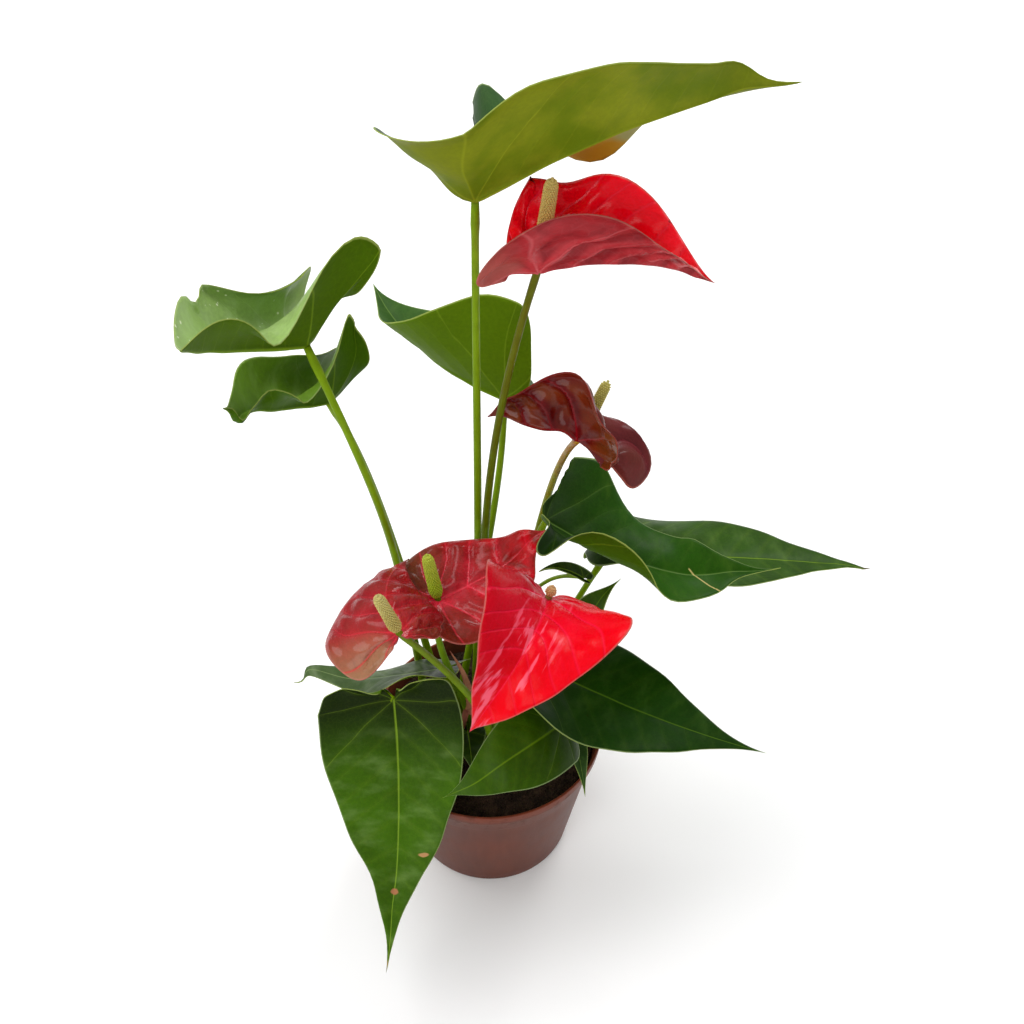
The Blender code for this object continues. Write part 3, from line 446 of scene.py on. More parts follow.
def bent(blade, flat):
    # puts points of the flat heart in space: x runs along the midrib, y across
    x, y = flat[:, 0], flat[:, 1]
    junction, tip = (np.array(blade[k], float) for k in ("junction", "tip"))
    length = np.linalg.norm(tip - junction)
    halfWidth = blade["width"] / 2.0
    chord = (tip - junction) / length
    level = unit(np.cross((0.0, 0.0, 1.0), chord))
    above = np.cross(chord, level)
    roll = math.radians(blade["roll"])
    side = level * math.cos(roll) + above * math.sin(roll)
    face = above * math.cos(roll) - level * math.sin(roll)
    # the two halves meet smoothly in a narrow band at the midrib
    left = smooth(y * halfWidth, -1.2, 1.2)

    def byHalf(pair):
        return pair[0] * left + pair[1] * (1.0 - left)

    forward = np.clip(x, 0.0, 1.0)
    slope = np.arctan(4.0 * blade["arch"] * (1.0 - 2.0 * forward) / length)[:, None]
    along = np.cos(slope) * chord + np.sin(slope) * face
    normal = np.cos(slope) * face - np.sin(slope) * chord
    bulge = (4.0 * forward * (1.0 - forward))[:, None]
    spine = junction + chord * (length * forward)[:, None]
    spine = spine + (face * blade["arch"] + side * blade["bow"]) * bulge

    back = np.maximum(-x, 0.0) * length
    turn = np.radians(byHalf(blade["lobes"])) / (bladeMesh["lobeReach"] * length) + 1e-9
    spine = spine - along * (np.sin(turn * back) / turn)[:, None]
    spine = spine + normal * ((1.0 - np.cos(turn * back)) / turn)[:, None]
    turned = (turn * back)[:, None]
    normal = normal * np.cos(turned) + along * np.sin(turned)

    twist = np.radians(blade["twist"] * x)[:, None]
    across = side * np.cos(twist) + normal * np.sin(twist)
    normal = normal * np.cos(twist) - side * np.sin(twist)

    fold = np.radians(byHalf(blade["fold"]))
    curl = np.radians(byHalf(blade["curl"])) / halfWidth + 1e-9
    reach = np.abs(y) * halfWidth
    outward = (np.sin(fold + curl * reach) - np.sin(fold)) / curl
    upward = (np.cos(fold) - np.cos(fold + curl * reach)) / curl
    height, count, phase = (byHalf([wave[i] for wave in blade["waves"]]) for i in range(3))
    upward = upward + height * np.sin(2.0 * np.pi * count * x + np.radians(phase)) * y * y
    points = spine + across * (np.where(y >= 0.0, 1.0, -1.0) * outward)[:, None] + normal * upward[:, None]
    return points + pulled(blade, x * length, y * halfWidth, length, halfWidth)


def pulled(blade, x, y, length, halfWidth):
    # how far the blade's own pulls move each point; nothing moves where the stalk joins
    shift, total = np.zeros((len(x), 3)), np.zeros(len(x))
    for along, beside, reach, move in blade.get("pulls", ()):
        weight = np.exp(-((x - along * length) ** 2 + (y - beside * halfWidth) ** 2) / reach ** 2)
        shift += weight[:, None] * np.array(move, float)
        total += weight
    clear = 1.0 - np.exp(-(x * x + y * y) / bladeMesh["stillRadius"] ** 2)
    return shift * (clear / (1.0 + total ** 8) ** 0.125)[:, None]


def veinField(x, y, length, halfWidth, count, basal):
    # how many veins lie between a point and the junction's first side vein, and the vein spacing there
    out = np.abs(y)
    firstVein = 0.55 * out + 0.3 * out * out / halfWidth
    pitch = length / count
    ahead = (x - firstVein) / pitch
    firstAngle = np.arctan2(out, firstVein + 1e-6)
    span = math.radians(172.0) - firstAngle
    behind = -(np.arctan2(out, x) - firstAngle) / span * basal
    vein = np.where(ahead >= 0.0, ahead, behind)
    spacing = np.where(ahead >= 0.0, pitch * 0.85, np.hypot(x, y) * span / basal)
    return vein, spacing


def bladeGrid(blade, heart):
    # the blade as rays from the junction to the margin, on both halves, in flat coordinates
    small = blade["width"] < bladeMesh["smallWidth"]
    rays, rings = (bladeMesh[key] for key in (("smallRays", "smallRings") if small else ("rays", "rings")))
    u = np.linspace(0.0, 1.0, rays + 1)
    t = (np.arange(1, rings + 1) / rings)[:, None]
    size = math.dist(blade["tip"], blade["junction"]), blade["width"] / 2.0
    aspect = max(bladeMesh["leastAspect"], size[1] / size[0])
    start = np.radians(blade.get("sinusAngle", bladeMesh["sinusAngle"])) * u
    margins = halfOutline(heart, u)
    reach = bladeMesh["veinBend"] * np.hypot(margins[:, 0], aspect * margins[:, 1])
    bend = np.stack([reach * np.cos(start), reach * np.sin(start) / aspect], axis=1)
    flat, edge, rows = [np.zeros((1, 2))], [bladeMesh["heartEdge"]], {}
    for half in (1.0, -1.0):
        for j in range(rays + 1):
            if j == 0 and half < 0:  # both halves share the midrib
                rows[half, 0] = rows[1.0, 0]
                continue
            ray = 2.0 * t * (1.0 - t) * bend[j] + t * t * margins[j]
            placed = ray * size
            edge.extend(np.hypot(*(placed - placed[-1]).T))
            first = sum(len(part) for part in flat)
            rows[half, j] = list(range(first, first + rings))
            ray[:, 1] = half * np.maximum(ray[:, 1], 1e-7)
            flat.append(ray)
    faces = []
    for half in (1.0, -1.0):
        for j in range(rays):
            inner, outer = rows[half, j], rows[half, j + 1]
            strip = [(0, inner[0], outer[0])]
            strip += [(inner[k], inner[k + 1], outer[k + 1], outer[k]) for k in range(rings - 1)]
            faces.extend(strip if half > 0 else [tuple(reversed(f)) for f in strip])
    rim = [0] + rows[-1.0, rays] + [rows[-1.0, j][-1] for j in range(rays - 1, 0, -1)]
    rim += [rows[1.0, j][-1] for j in range(0, rays)] + rows[1.0, rays][::-1]
    return np.vstack(flat), np.array(edge), faces, rim


def bladeShape(blade, heart, relief, seed):
    # points of both faces, and what the skins read: veins, rib width, distance to the margin, lobes, heart
    flat, edge, faces, rim = bladeGrid(blade, {**heart, **blade.get("outline", {})})
    length, halfWidth = math.dist(blade["tip"], blade["junction"]), blade["width"] / 2.0
    x, y = flat[:, 0] * length, flat[:, 1] * halfWidth
    # a real margin wanders a little
    wander = bladeMesh["wander"] * ripple(seed, x, y, bladeMesh["wanderSize"])
    flat = flat * (1.0 + wander * smooth(edge, bladeMesh["wanderReach"], 0.0))[:, None]
    points = bent(blade, flat)
    step = bladeMesh["nudge"]
    ahead = bent(blade, flat + (step, 0.0)) - bent(blade, flat - (step, 0.0))
    beside = bent(blade, flat + (0.0, step)) - bent(blade, flat - (0.0, step))
    normals = np.cross(ahead, beside)
    normals /= np.linalg.norm(normals, axis=1)[:, None]

    vein, spacing = veinField(x, y, length, halfWidth, relief["veins"], relief["basal"])
    out = np.hypot(x, y)
    vein = vein + relief["stray"] * ripple(seed + 2, x, y, 40.0) * smooth(out, 6.0, 30.0)
    calm = smooth(edge, 0.0, relief.get("calmEdge", 5.0)) * smooth(np.abs(y), 0.0, 4.0)
    calm = calm * smooth(out, 3.0, 16.0)
    swell = np.abs(np.sin(math.pi * vein)) ** 0.8 * relief["quilt"]
    swell = swell * (1.0 + 0.9 * ripple(seed + 3, x, y, 15.0))
    lift = swell * calm + relief["ripple"] * ripple(seed + 1, x, y, 17.0) * smooth(edge, 0.0, 8.0)
    ribWidth = relief["rib"] * np.clip(1.15 - flat[:, 0], 0.25, 1.0)
    ridge = np.exp(-(y / ribWidth) ** 2) * smooth(flat[:, 0], -0.06, 0.02)
    upper = points + normals * (lift - 0.25 * ridge * ribWidth)[:, None]
    thick = relief["edge"] + (relief["thick"] - relief["edge"]) * smooth(edge, 0.0, 6.0)
    lower = upper - normals * (thick + ridge * ribWidth * 0.75)[:, None]
    lobe = smooth(flat[:, 0] * length, relief.get("lobeStart", 6.0), -14.0) * smooth(np.abs(y), 0.0, 10.0)
    facts = {"vein": vein, "pitch": spacing, "rib": ribWidth, "edge": edge, "lobe": lobe,
             "heart": np.exp(-out / (0.35 * length))}
    return upper, lower, np.stack([x, y], axis=1), facts, faces, rim


def tubeShape(path, radii, sides, groove):
    # rings of points along a path, without a twist
    path = np.asarray(path, float)
    heading = np.gradient(path, axis=0)
    heading /= np.linalg.norm(heading, axis=1)[:, None]
    side = unit(np.cross(heading[0], (0.31, 0.95, 0.1)))
    rings = []
    around = np.linspace(0.0, 2.0 * math.pi, sides, endpoint=False)
    for centre, ahead, radius in zip(path, heading, radii):
        side = unit(side - ahead * (side @ ahead))
        front = np.cross(ahead, side)
        dip = radius * (1.0 - groove * np.maximum(0.0, np.cos(around)) ** 6)
        aside, beyond = (np.cos(around) * dip)[:, None] * side, (np.sin(around) * dip)[:, None] * front
        rings.append(centre + aside + beyond)
    return np.array(rings)


class Piece:
    # gathers points, faces and what the skins read, then makes one mesh

    def __init__(self, name):
        self.name, self.points, self.faces, self.slots, self.flat, self.facts = name, [], [], [], [], {}

    def add(self, points, faces, slots, flat, facts):
        first = sum(len(p) for p in self.points)
        self.points.append(points)
        self.faces.extend(tuple(i + first for i in f) for f in faces)
        self.slots.extend(slots)
        self.flat.append(flat)
        for key, values in facts.items():
            gathered = self.facts.setdefault(key, [])
            gathered.append(np.zeros(first - sum(len(g) for g in gathered)))
            gathered.append(values)

    def addBlade(self, blade, heart, relief, seed):
        upper, lower, flat, facts, faces, rim = bladeShape(blade, heart, relief, seed)
        n = len(upper)
        under = [tuple(i + n for i in reversed(f)) for f in faces]
        under += [(rim[k], rim[k - 1], rim[k - 1] + n, rim[k] + n) for k in range(len(rim))]
        both = {k: np.concatenate([v, v]) for k, v in facts.items()}
        slots = [0] * len(faces) + [1] * len(under)
        self.add(np.vstack([upper, lower]), faces + under, slots, np.vstack([flat, flat]), both)

    def addTube(self, path, radii, sides, slot, groove=0.0):
        rings, travel = tubeShape(path, radii, sides, groove), travelled(path)
        last = (len(rings) - 1) * sides
        faces = []
        for i in range(0, last, sides):
            for j in range(sides):
                k = (j + 1) % sides
                faces.append((i + j, i + k, i + sides + k, i + sides + j))
        faces.append(tuple(range(sides - 1, -1, -1)))
        faces.append(tuple(last + j for j in range(sides)))
        girth = np.tile(np.arange(sides) / sides * 2.0 * math.pi * max(radii), len(rings))
        flat = np.stack([girth, np.repeat(travel, sides)], axis=1)
        facts = {"climb": np.repeat(travel / travel[-1], sides)}
        self.add(rings.reshape(-1, 3), faces, [slot] * len(faces), flat, facts)

    def make(self, materials):
        points = np.vstack(self.points) * mm
        mesh = bpy.data.meshes.new(self.name)
        mesh.from_pydata(points.tolist(), [], self.faces)
        for material in materials:
            mesh.materials.append(material)
        mesh.polygons.foreach_set("material_index", self.slots)
        for key, gathered in self.facts.items():
            values = np.concatenate(gathered)
            values = np.concatenate([values, np.zeros(len(points) - len(values))]).astype(np.float32)
            mesh.attributes.new(key, "FLOAT", "POINT").data.foreach_set("value", values)
        corners = np.zeros(len(mesh.loops), np.int32)
        mesh.loops.foreach_get("vertex_index", corners)
        layer = mesh.uv_layers.new(name="flat")
        layer.data.foreach_set("uv", (np.vstack(self.flat)[corners] * mm).astype(np.float32).ravel())
        mesh.shade_smooth()
        mesh.update()
        return stand(self.name, mesh)


def settle(thing, slot, *nodes):
    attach(thing, "root")
    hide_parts(*nodes)


# Stalks

stalkLook = {"footZ": 66.0, "points": 64, "sides": 18, "radius": 2.2, "taper": 0.72, "groove": 0.16,
             "swell": 0.22, "swellLength": 9.0, "bloomSwell": 0.1}


def stalkPath(stem, end):
    foot = (*stem["foot"], stalkLook["footZ"])
    share = np.linspace(0.0, 1.0, stem.get("points", stalkLook["points"]))
    return bezier((foot, stem["rise"], stem["reach"], end), share)


def stalkRadii(stem, path, swell):
    travel = travelled(path)
    share = travel / travel[-1]
    radii = stem.get("radius", stalkLook["radius"]) * (1.0 - (1.0 - stalkLook["taper"]) * share)
    swellLength = stalkLook["swellLength"]
    knee = np.exp(-((travel[-1] - travel - swellLength) / (0.6 * swellLength)) ** 2)
    crown = 0.25 * smooth(share, 0.12, 0.0)
    return radii * (1.0 + swell * knee + crown)


# Leaves

# a look's bloom colour and its share are painted sheen; its shade share darkens the blade toward the
# junction as painted shade
greens = {
    "dark": {"base": (48, 84, 12), "vein": (120, 152, 40), "bloom": (92, 122, 56), "sheenShare": 0.4,
             "shade": 0.6, "under": (80, 112, 4), "underVein": (136, 164, 44)},
    "front": {"base": (66, 106, 12), "vein": (128, 160, 40), "bloom": (120, 150, 80), "sheenShare": 0.45,
              "shade": 1.0, "coat": 0.03, "under": (80, 112, 4), "underVein": (136, 164, 44)},
    "deep": {"base": (26, 64, 4), "vein": (80, 114, 26), "bloom": (76, 108, 40), "sheenShare": 0.25,
             "under": (60, 94, 6), "underVein": (110, 140, 40)},
    "young": {"base": (56, 92, 2), "vein": (98, 130, 18), "bloom": (84, 114, 20), "under": (84, 118, 6),
              "underVein": (140, 164, 46)},
    "olive": {"base": (56, 92, 44), "vein": (114, 138, 60), "bloom": (90, 118, 70),
              "under": (128, 138, 26), "mottle": (86, 108, 8), "underVein": (146, 156, 34)},
    # painted sheen: this blade's pale grey-green base and bloom are lightened to stand for the reflection of
    # the white surroundings
    "greySheen": {"base": (152, 186, 98), "vein": (172, 202, 122), "bloom": (176, 202, 144), "sheenShare": 0.45,
             "shade": 0.0, "coat": 0.3, "under": (72, 104, 2), "underVein": (122, 152, 30),
             "speck": (232, 238, 206)},
    "sleek": {"base": (108, 148, 36), "vein": (132, 168, 58), "bloom": (142, 170, 96), "sheenShare": 0.45,
              "shade": 0.1, "under": (62, 98, 2), "underVein": (112, 144, 26)},
    "forest": {"base": (38, 84, 4), "vein": (88, 120, 44), "bloom": (78, 112, 30), "sheenShare": 0.3,
               "shade": 0.7, "under": (64, 96, 4), "underVein": (108, 138, 26)},
    "sage": {"base": (76, 100, 56), "vein": (124, 144, 92), "bloom": (136, 150, 118), "sheenShare": 0.6,
             "shade": 1.0, "under": (92, 124, 30), "underVein": (140, 160, 74)},
    "behind": {"base": (56, 92, 34), "vein": (108, 138, 62), "bloom": (92, 120, 66), "under": (90, 122, 8),
               "underVein": (122, 150, 34)},
}

leafRelief = {"veins": 9.0, "basal": 3.0, "stray": 0.15, "quilt": 0.28, "ripple": 0.35, "rib": 0.95,
              "thick": 0.65, "edge": 0.35}
smallRelief = {"veins": 5.0, "basal": 2.0, "stray": 0.05, "quilt": 0.2, "ripple": 0.12, "rib": 0.6,
               "thick": 0.6, "edge": 0.35}
smallBlade = {"twist": 0, "arch": 5, "bow": 0, "curl": (0, 0), "lobes": (10, 10),
              "waves": ((0, 1.5, 0), (0, 1.5, 0))}

# pulls: where along and across the flat heart (+ is its left half), then their reach and move in mm
leaves = {
    "leaf_top": {
        "green": "olive",
        "underSpots": ((46, 30, 30, 1.5, (176, 132, 34)), (72, 24, 14, 1.4, (150, 150, 90))),
        "blade": {
            "junction": (-2, 10, 414), "tip": (124, 52, 439), "width": 106, "roll": -70, "twist": -20,
            "arch": -8, "bow": -24, "fold": (50, 0), "curl": (5, -30), "lobes": (60, 75),
            "waves": ((28, 1.4, 55), (5, 1.5, 20)),
            "pulls": (
                (-0.16, -0.75, 16, (-4.5, 4.4, 4.2)), (-0.04, -0.96, 14, (0, 4.6, 4.2)),
                (0.1, -1.0, 16, (0, 4, 3.5)), (0.34, -0.85, 22, (0, 3.4, 3.1)),
                (0.78, -0.2, 10, (0, 3.5, 3.3)), (-0.14, -0.15, 10, (0, 4, 4)), (0.0, 1.0, 14, (6, 0, 0)),
                (0.1, 1.0, 12, (-3.8, 3.3, 3.1)), (0.34, 0.85, 20, (0, -3.3, -3.1)),
                (-0.14, 0.2, 10, (6, 2, 2)))},
        "stem": {"foot": (-9, 16), "rise": (-3, 24, 185), "reach": (-4, 18, 300)},
    },
    "leaf_left_upper": {
        "green": "greySheen",
        "blade": {
            "junction": (-71, 0, 351), "tip": (-97, -87, 424), "width": 74, "roll": 5, "twist": 15,
            "arch": -2, "bow": -12, "fold": (55, 20), "curl": (-25, 130), "lobes": (35, -5),
            "waves": ((-21, 1.3, 235), (9, 1.2, 195)),
            "pulls": (
                (0.34, 0.85, 15, (-4.5, -7.5, -7)), (0.2, 0.95, 10, (-3.4, -2, -1.9)),
                (-0.04, 0.96, 12, (3.4, -0.4, -0.4)), (-0.14, 0.84, 8, (-5, 3, 3)),
                (-0.17, 0.6, 14, (-4.6, 3.8, 3.5)), (-0.14, 0.2, 8, (-6.4, 0, 0)),
                (0.45, -0.69, 7, (0, -4.6, -4.2)), (0.34, -0.85, 9, (-7, 0.4, 0.3)),
                (0.22, -0.94, 9, (-4.5, 0, 0)), (0.56, -0.51, 8, (0, 1.8, 1.7)))},
        "stem": {"foot": (-34, 22), "rise": (-46, 30, 207), "reach": (-38, -29, 271)},
    },
    "leaf_left_lower": {
        "green": "sleek",
        "blade": {
            "junction": (-69, 24, 298), "tip": (-98, -44, 358), "width": 59, "roll": 30, "twist": 0,
            "arch": 0, "bow": -8, "fold": (25, 60), "curl": (5, 100), "lobes": (40, -15),
            "waves": ((17, 1.3, 75), (-5, 1.2, 40)),
            "pulls": (
                (0.78, 0.2, 7, (0, -6, -5.5)), (0.67, 0.36, 8, (-3.7, -5.4, -5)),
                (0.56, 0.51, 8, (-4.7, 0.7, 0.7)), (0.34, 0.85, 11, (-7, -3, -2.7)),
                (0.1, 1.0, 9, (-1, 3.2, 3)), (0.0, 1.0, 6, (-4.6, -1, -1)),
                (0.56, -0.51, 10, (-1.9, 2, 1.8)), (0.34, -0.85, 9, (0, -1.6, -1.5)))},
        "stem": {"foot": (-22, 16), "rise": (-43, 40, 158), "reach": (-54, 46, 236)},
    },
    "leaf_behind": {
        "green": "behind",
        "blade": {
            "junction": (8, 55, 272), "tip": (-56, 120, 288), "width": 106, "roll": 65, "twist": -65,
            "arch": -9, "bow": 5, "fold": (15, 30), "curl": (50, -5), "lobes": (20, 65),
            "waves": ((1, 1.5, 340), (-2, 1.5, 20))},
        "stem": {"foot": (-18, 23), "rise": (-4, 52, 151), "reach": (9, 61, 218)},
    },
    "leaf_right_near": {
        "green": "forest", "scars": ((70.5, 2.3, 85.0, -12.6, 0.45, (186, 170, 104)),),
        "blade": {
            "junction": (28, 15, 231), "tip": (141, 8, 205), "width": 73, "roll": -25, "twist": 15,
            "arch": -10, "bow": -7, "fold": (35, 5), "curl": (-5, 15), "lobes": (140, 135),
            "waves": ((11, 1.4, 45), (15, 1.3, 335)), "outline": {"lobe": 0.07},
            "pulls": (
                (0.75, 0.2, 14, (0, 2, 1.8)), (0.66, 0.36, 8, (0, 2.6, 2.4)),
                (0.03, 0.99, 10, (0, -1.8, -1.7)), (0.67, -0.33, 14, (2.7, -3, -2.7)),
                (0.56, -0.51, 12, (0, -2.4, -2.3)), (0.34, -0.85, 12, (4.4, -1.2, -1.1)),
                (0.1, -1.0, 12, (-2.5, 3.8, 3.5)), (-0.04, -0.96, 9, (-1.3, -4.9, -4.6)),
                (-0.06, -0.55, 9, (6, 2.7, -3)), (-0.05, -0.2, 5, (2, 0.5, -0.5)))},
        "stem": {"foot": (-2, 24), "rise": (-1, 24, 122), "reach": (12, 21, 177)},
    },
    "leaf_right_far": {
        "green": "dark", "spots": ((140, 0, 10.0, 1.0, (64, 30, 24)),),
        "underSpots": ((140, 0, 10.0, 1.0, (64, 30, 24)),),
        "blade": {
            "junction": (60, 39, 180), "tip": (196, 43, 165), "width": 83, "roll": -25, "twist": 5,
            "arch": 3, "bow": -4, "fold": (20, -5), "curl": (-25, 10), "lobes": (75, -80),
            "waves": ((-4, 1.5, 315), (2, 1.5, 355)), "outline": {"tipWidth": 0.1, "lobe": 0.12},
            "pulls": (
                (0.975, 0.0, 5, (0, -1.0, -0.9)), (0.12, -0.95, 24, (0, 10.4, 9.6)),
                (-0.1, -0.6, 16, (0, 12.6, 11.6)))},
        "stem": {"foot": (11, 20), "rise": (27, 28, 106), "reach": (43, 34, 144)},
    },
    "leaf_right_low": {
        "green": "deep",
        "blade": {
            "junction": (23, -8, 152), "tip": (135, -52, 137), "width": 79, "roll": -15, "twist": 50,
            "arch": -3, "bow": -2, "fold": (0, 10), "curl": (-15, 5), "lobes": (10, 40),
            "waves": ((0, 1.5, 0), (3, 1.5, 60))},
        "stem": {"foot": (-5, -2), "rise": (4, -4, 95), "reach": (14, -6, 123)},
    },
    "leaf_front_small": {
        "green": "young",
        "blade": {
            "junction": (36, -38, 141), "tip": (-22, -62, 113), "width": 41, "roll": -25, "twist": 5,
            "arch": 27, "bow": 4, "fold": (-10, 5), "curl": (-10, -10), "lobes": (-25, 10),
            "waves": ((1, 1.5, 0), (1, 1.5, 350)), "pulls": ((0.68, 0.35, 12, (0, -1.6, -1.5)),)},
        "stem": {"foot": (10, -10), "rise": (19, -20, 91), "reach": (28, -29, 116), "radius": 2.0},
    },
    "leaf_front_large": {
        "green": "front",
        "spots": (
            (77.6, 13.3, 3.0, 0.4, (176, 132, 88)), (96.3, 0.4, 2.3, 0.8, (166, 112, 76)),
            (131, 0, 3.5, 1.0, (150, 120, 60))),
        "blade": {
            "junction": (-47, -20, 136), "tip": (-50, -124, 52), "width": 78, "roll": 20, "twist": -5,
            "arch": -16, "bow": -3, "fold": (10, 30), "curl": (-10, 0), "lobes": (90, 70),
            "waves": ((3, 1.5, 5), (-1, 1.5, 350)),
            "pulls": (
                (-0.14, -0.84, 8, (0, 4.6, 4.2)), (-0.17, -0.62, 8, (-0.8, 2.8, 2.6)),
                (-0.14, -0.15, 7, (3, -4.4, -4.1)), (-0.14, 0.15, 7, (3.3, -2.8, -2.6)),
                (-0.17, 0.43, 7, (2.5, 1.6, 1.5)), (-0.17, 0.62, 7, (3, 3.6, 3.3)),
                (-0.14, 0.84, 9, (0, 2.9, 2.7)), (-0.04, 0.96, 8, (-1.7, 1.2, 1.1)),
                (0.56, 0.51, 12, (2.5, 0, 0)), (0.56, -0.51, 12, (-1.5, 0, 0)),
                (0.78, -0.16, 10, (-1.2, 0, 0)))},
        "stem": {"foot": (-23, -3), "rise": (-51, 5, 101), "reach": (-66, 4, 127)},
    },
    "leaf_left_low": {
        "green": "sage",
        "blade": {
            "junction": (-25, 2, 133), "tip": (-101, 5, 116), "width": 47, "roll": 40, "twist": -10,
            "arch": -1, "bow": 1, "fold": (0, 0), "curl": (0, -5), "lobes": (15, 15),
            "waves": ((4, 1.5, 25), (2, 1.5, 355)),
            "pulls": (
                (0.78, -0.16, 9, (-9.6, 5.8, 5.4)), (0.62, -0.42, 7, (-4.6, 3.2, 3.0)),
                (1.0, 0.0, 5, (-0.5, 0.2, 0.2)), (0.56, 0.51, 9, (1.3, -1.7, -1.6)))},
        "stem": {"foot": (-11, 10), "rise": (-14, 9, 90), "reach": (-18, 7, 113), "radius": 1.9},
    },
    "leaf_small_left": {
        "green": "dark",
        "blade": {**smallBlade, "junction": (46, 4, 202), "tip": (24, 14, 194), "width": 9, "roll": 0,
                  "fold": (35, 35)},
        "stem": {"foot": (7, 10), "rise": (2, 36, 110), "reach": (18, 40, 172), "radius": 1.3},
    },
    "leaf_small_right": {
        "green": "young",
        "blade": {**smallBlade, "junction": (50, -12, 191), "tip": (63, -8, 216), "width": 18, "roll": 20,
                  "fold": (20, 20)},
        "stem": {"foot": (14, 3), "rise": (41, 39, 122), "reach": (53, 36, 164), "radius": 1.3},
    },
    "leaf_rim": {
        "green": "behind",
        "blade": {**smallBlade, "junction": (43, -23, 112), "tip": (49, -51, 96), "width": 12, "roll": 0,
                  "fold": (30, 30)},
        "stem": {"foot": (5, -1), "rise": (17, -8, 82), "reach": (30, -15, 97), "radius": 1.3},
    },
    "leaf_soil": {
        "green": "dark",
        "blade": {**smallBlade, "junction": (-11, -13, 98), "tip": (-8, -36, 92), "width": 20, "roll": 0,
                  "fold": (20, 20)},
        "stem": {"foot": (-13, -7), "rise": (-12, -9, 77), "reach": (-12, -11, 87), "radius": 1.3},
    },
}


def growLeaf(name, leaf, seed, petioleSkin):
    blade, look = leaf["blade"], greens[leaf["green"]]
    piece = Piece(name + "_skin")
    relief = smallRelief if blade["width"] < bladeMesh["smallWidth"] else leafRelief
    piece.addBlade(blade, leafHeart, relief, seed)
    path = stalkPath(leaf["stem"], blade["junction"])
    path[-1] += unit(path[-2] - path[-1]) * 0.5
    radii = stalkRadii(leaf["stem"], path, stalkLook["swell"])
    piece.addTube(path, radii, stalkLook["sides"], 2, stalkLook["groove"])
    skins = [leafSkin(name + "_upper", look, leaf.get("spots", ()), leaf.get("scars", ())),
             leafUnderskin(name + "_under", look, leaf.get("underSpots", ())), petioleSkin]
    settle(piece.make(skins), "leaf_green", name)


petioleSkin = stalkSkin("petiole_skin", (106, 134, 6), (118, 148, 10))
for seed, (name, leaf) in enumerate(leaves.items()):
    growLeaf(name, leaf, 10 + seed, petioleSkin)
print("leaves grown:", len(leaves))


# Blooms

spatheRelief = {"veins": 6.0, "basal": 3.0, "stray": 0.5, "quilt": 0.9, "ripple": 0.4, "rib": 0.9,
                "thick": 0.8, "edge": 0.4, "calmEdge": 3.0}

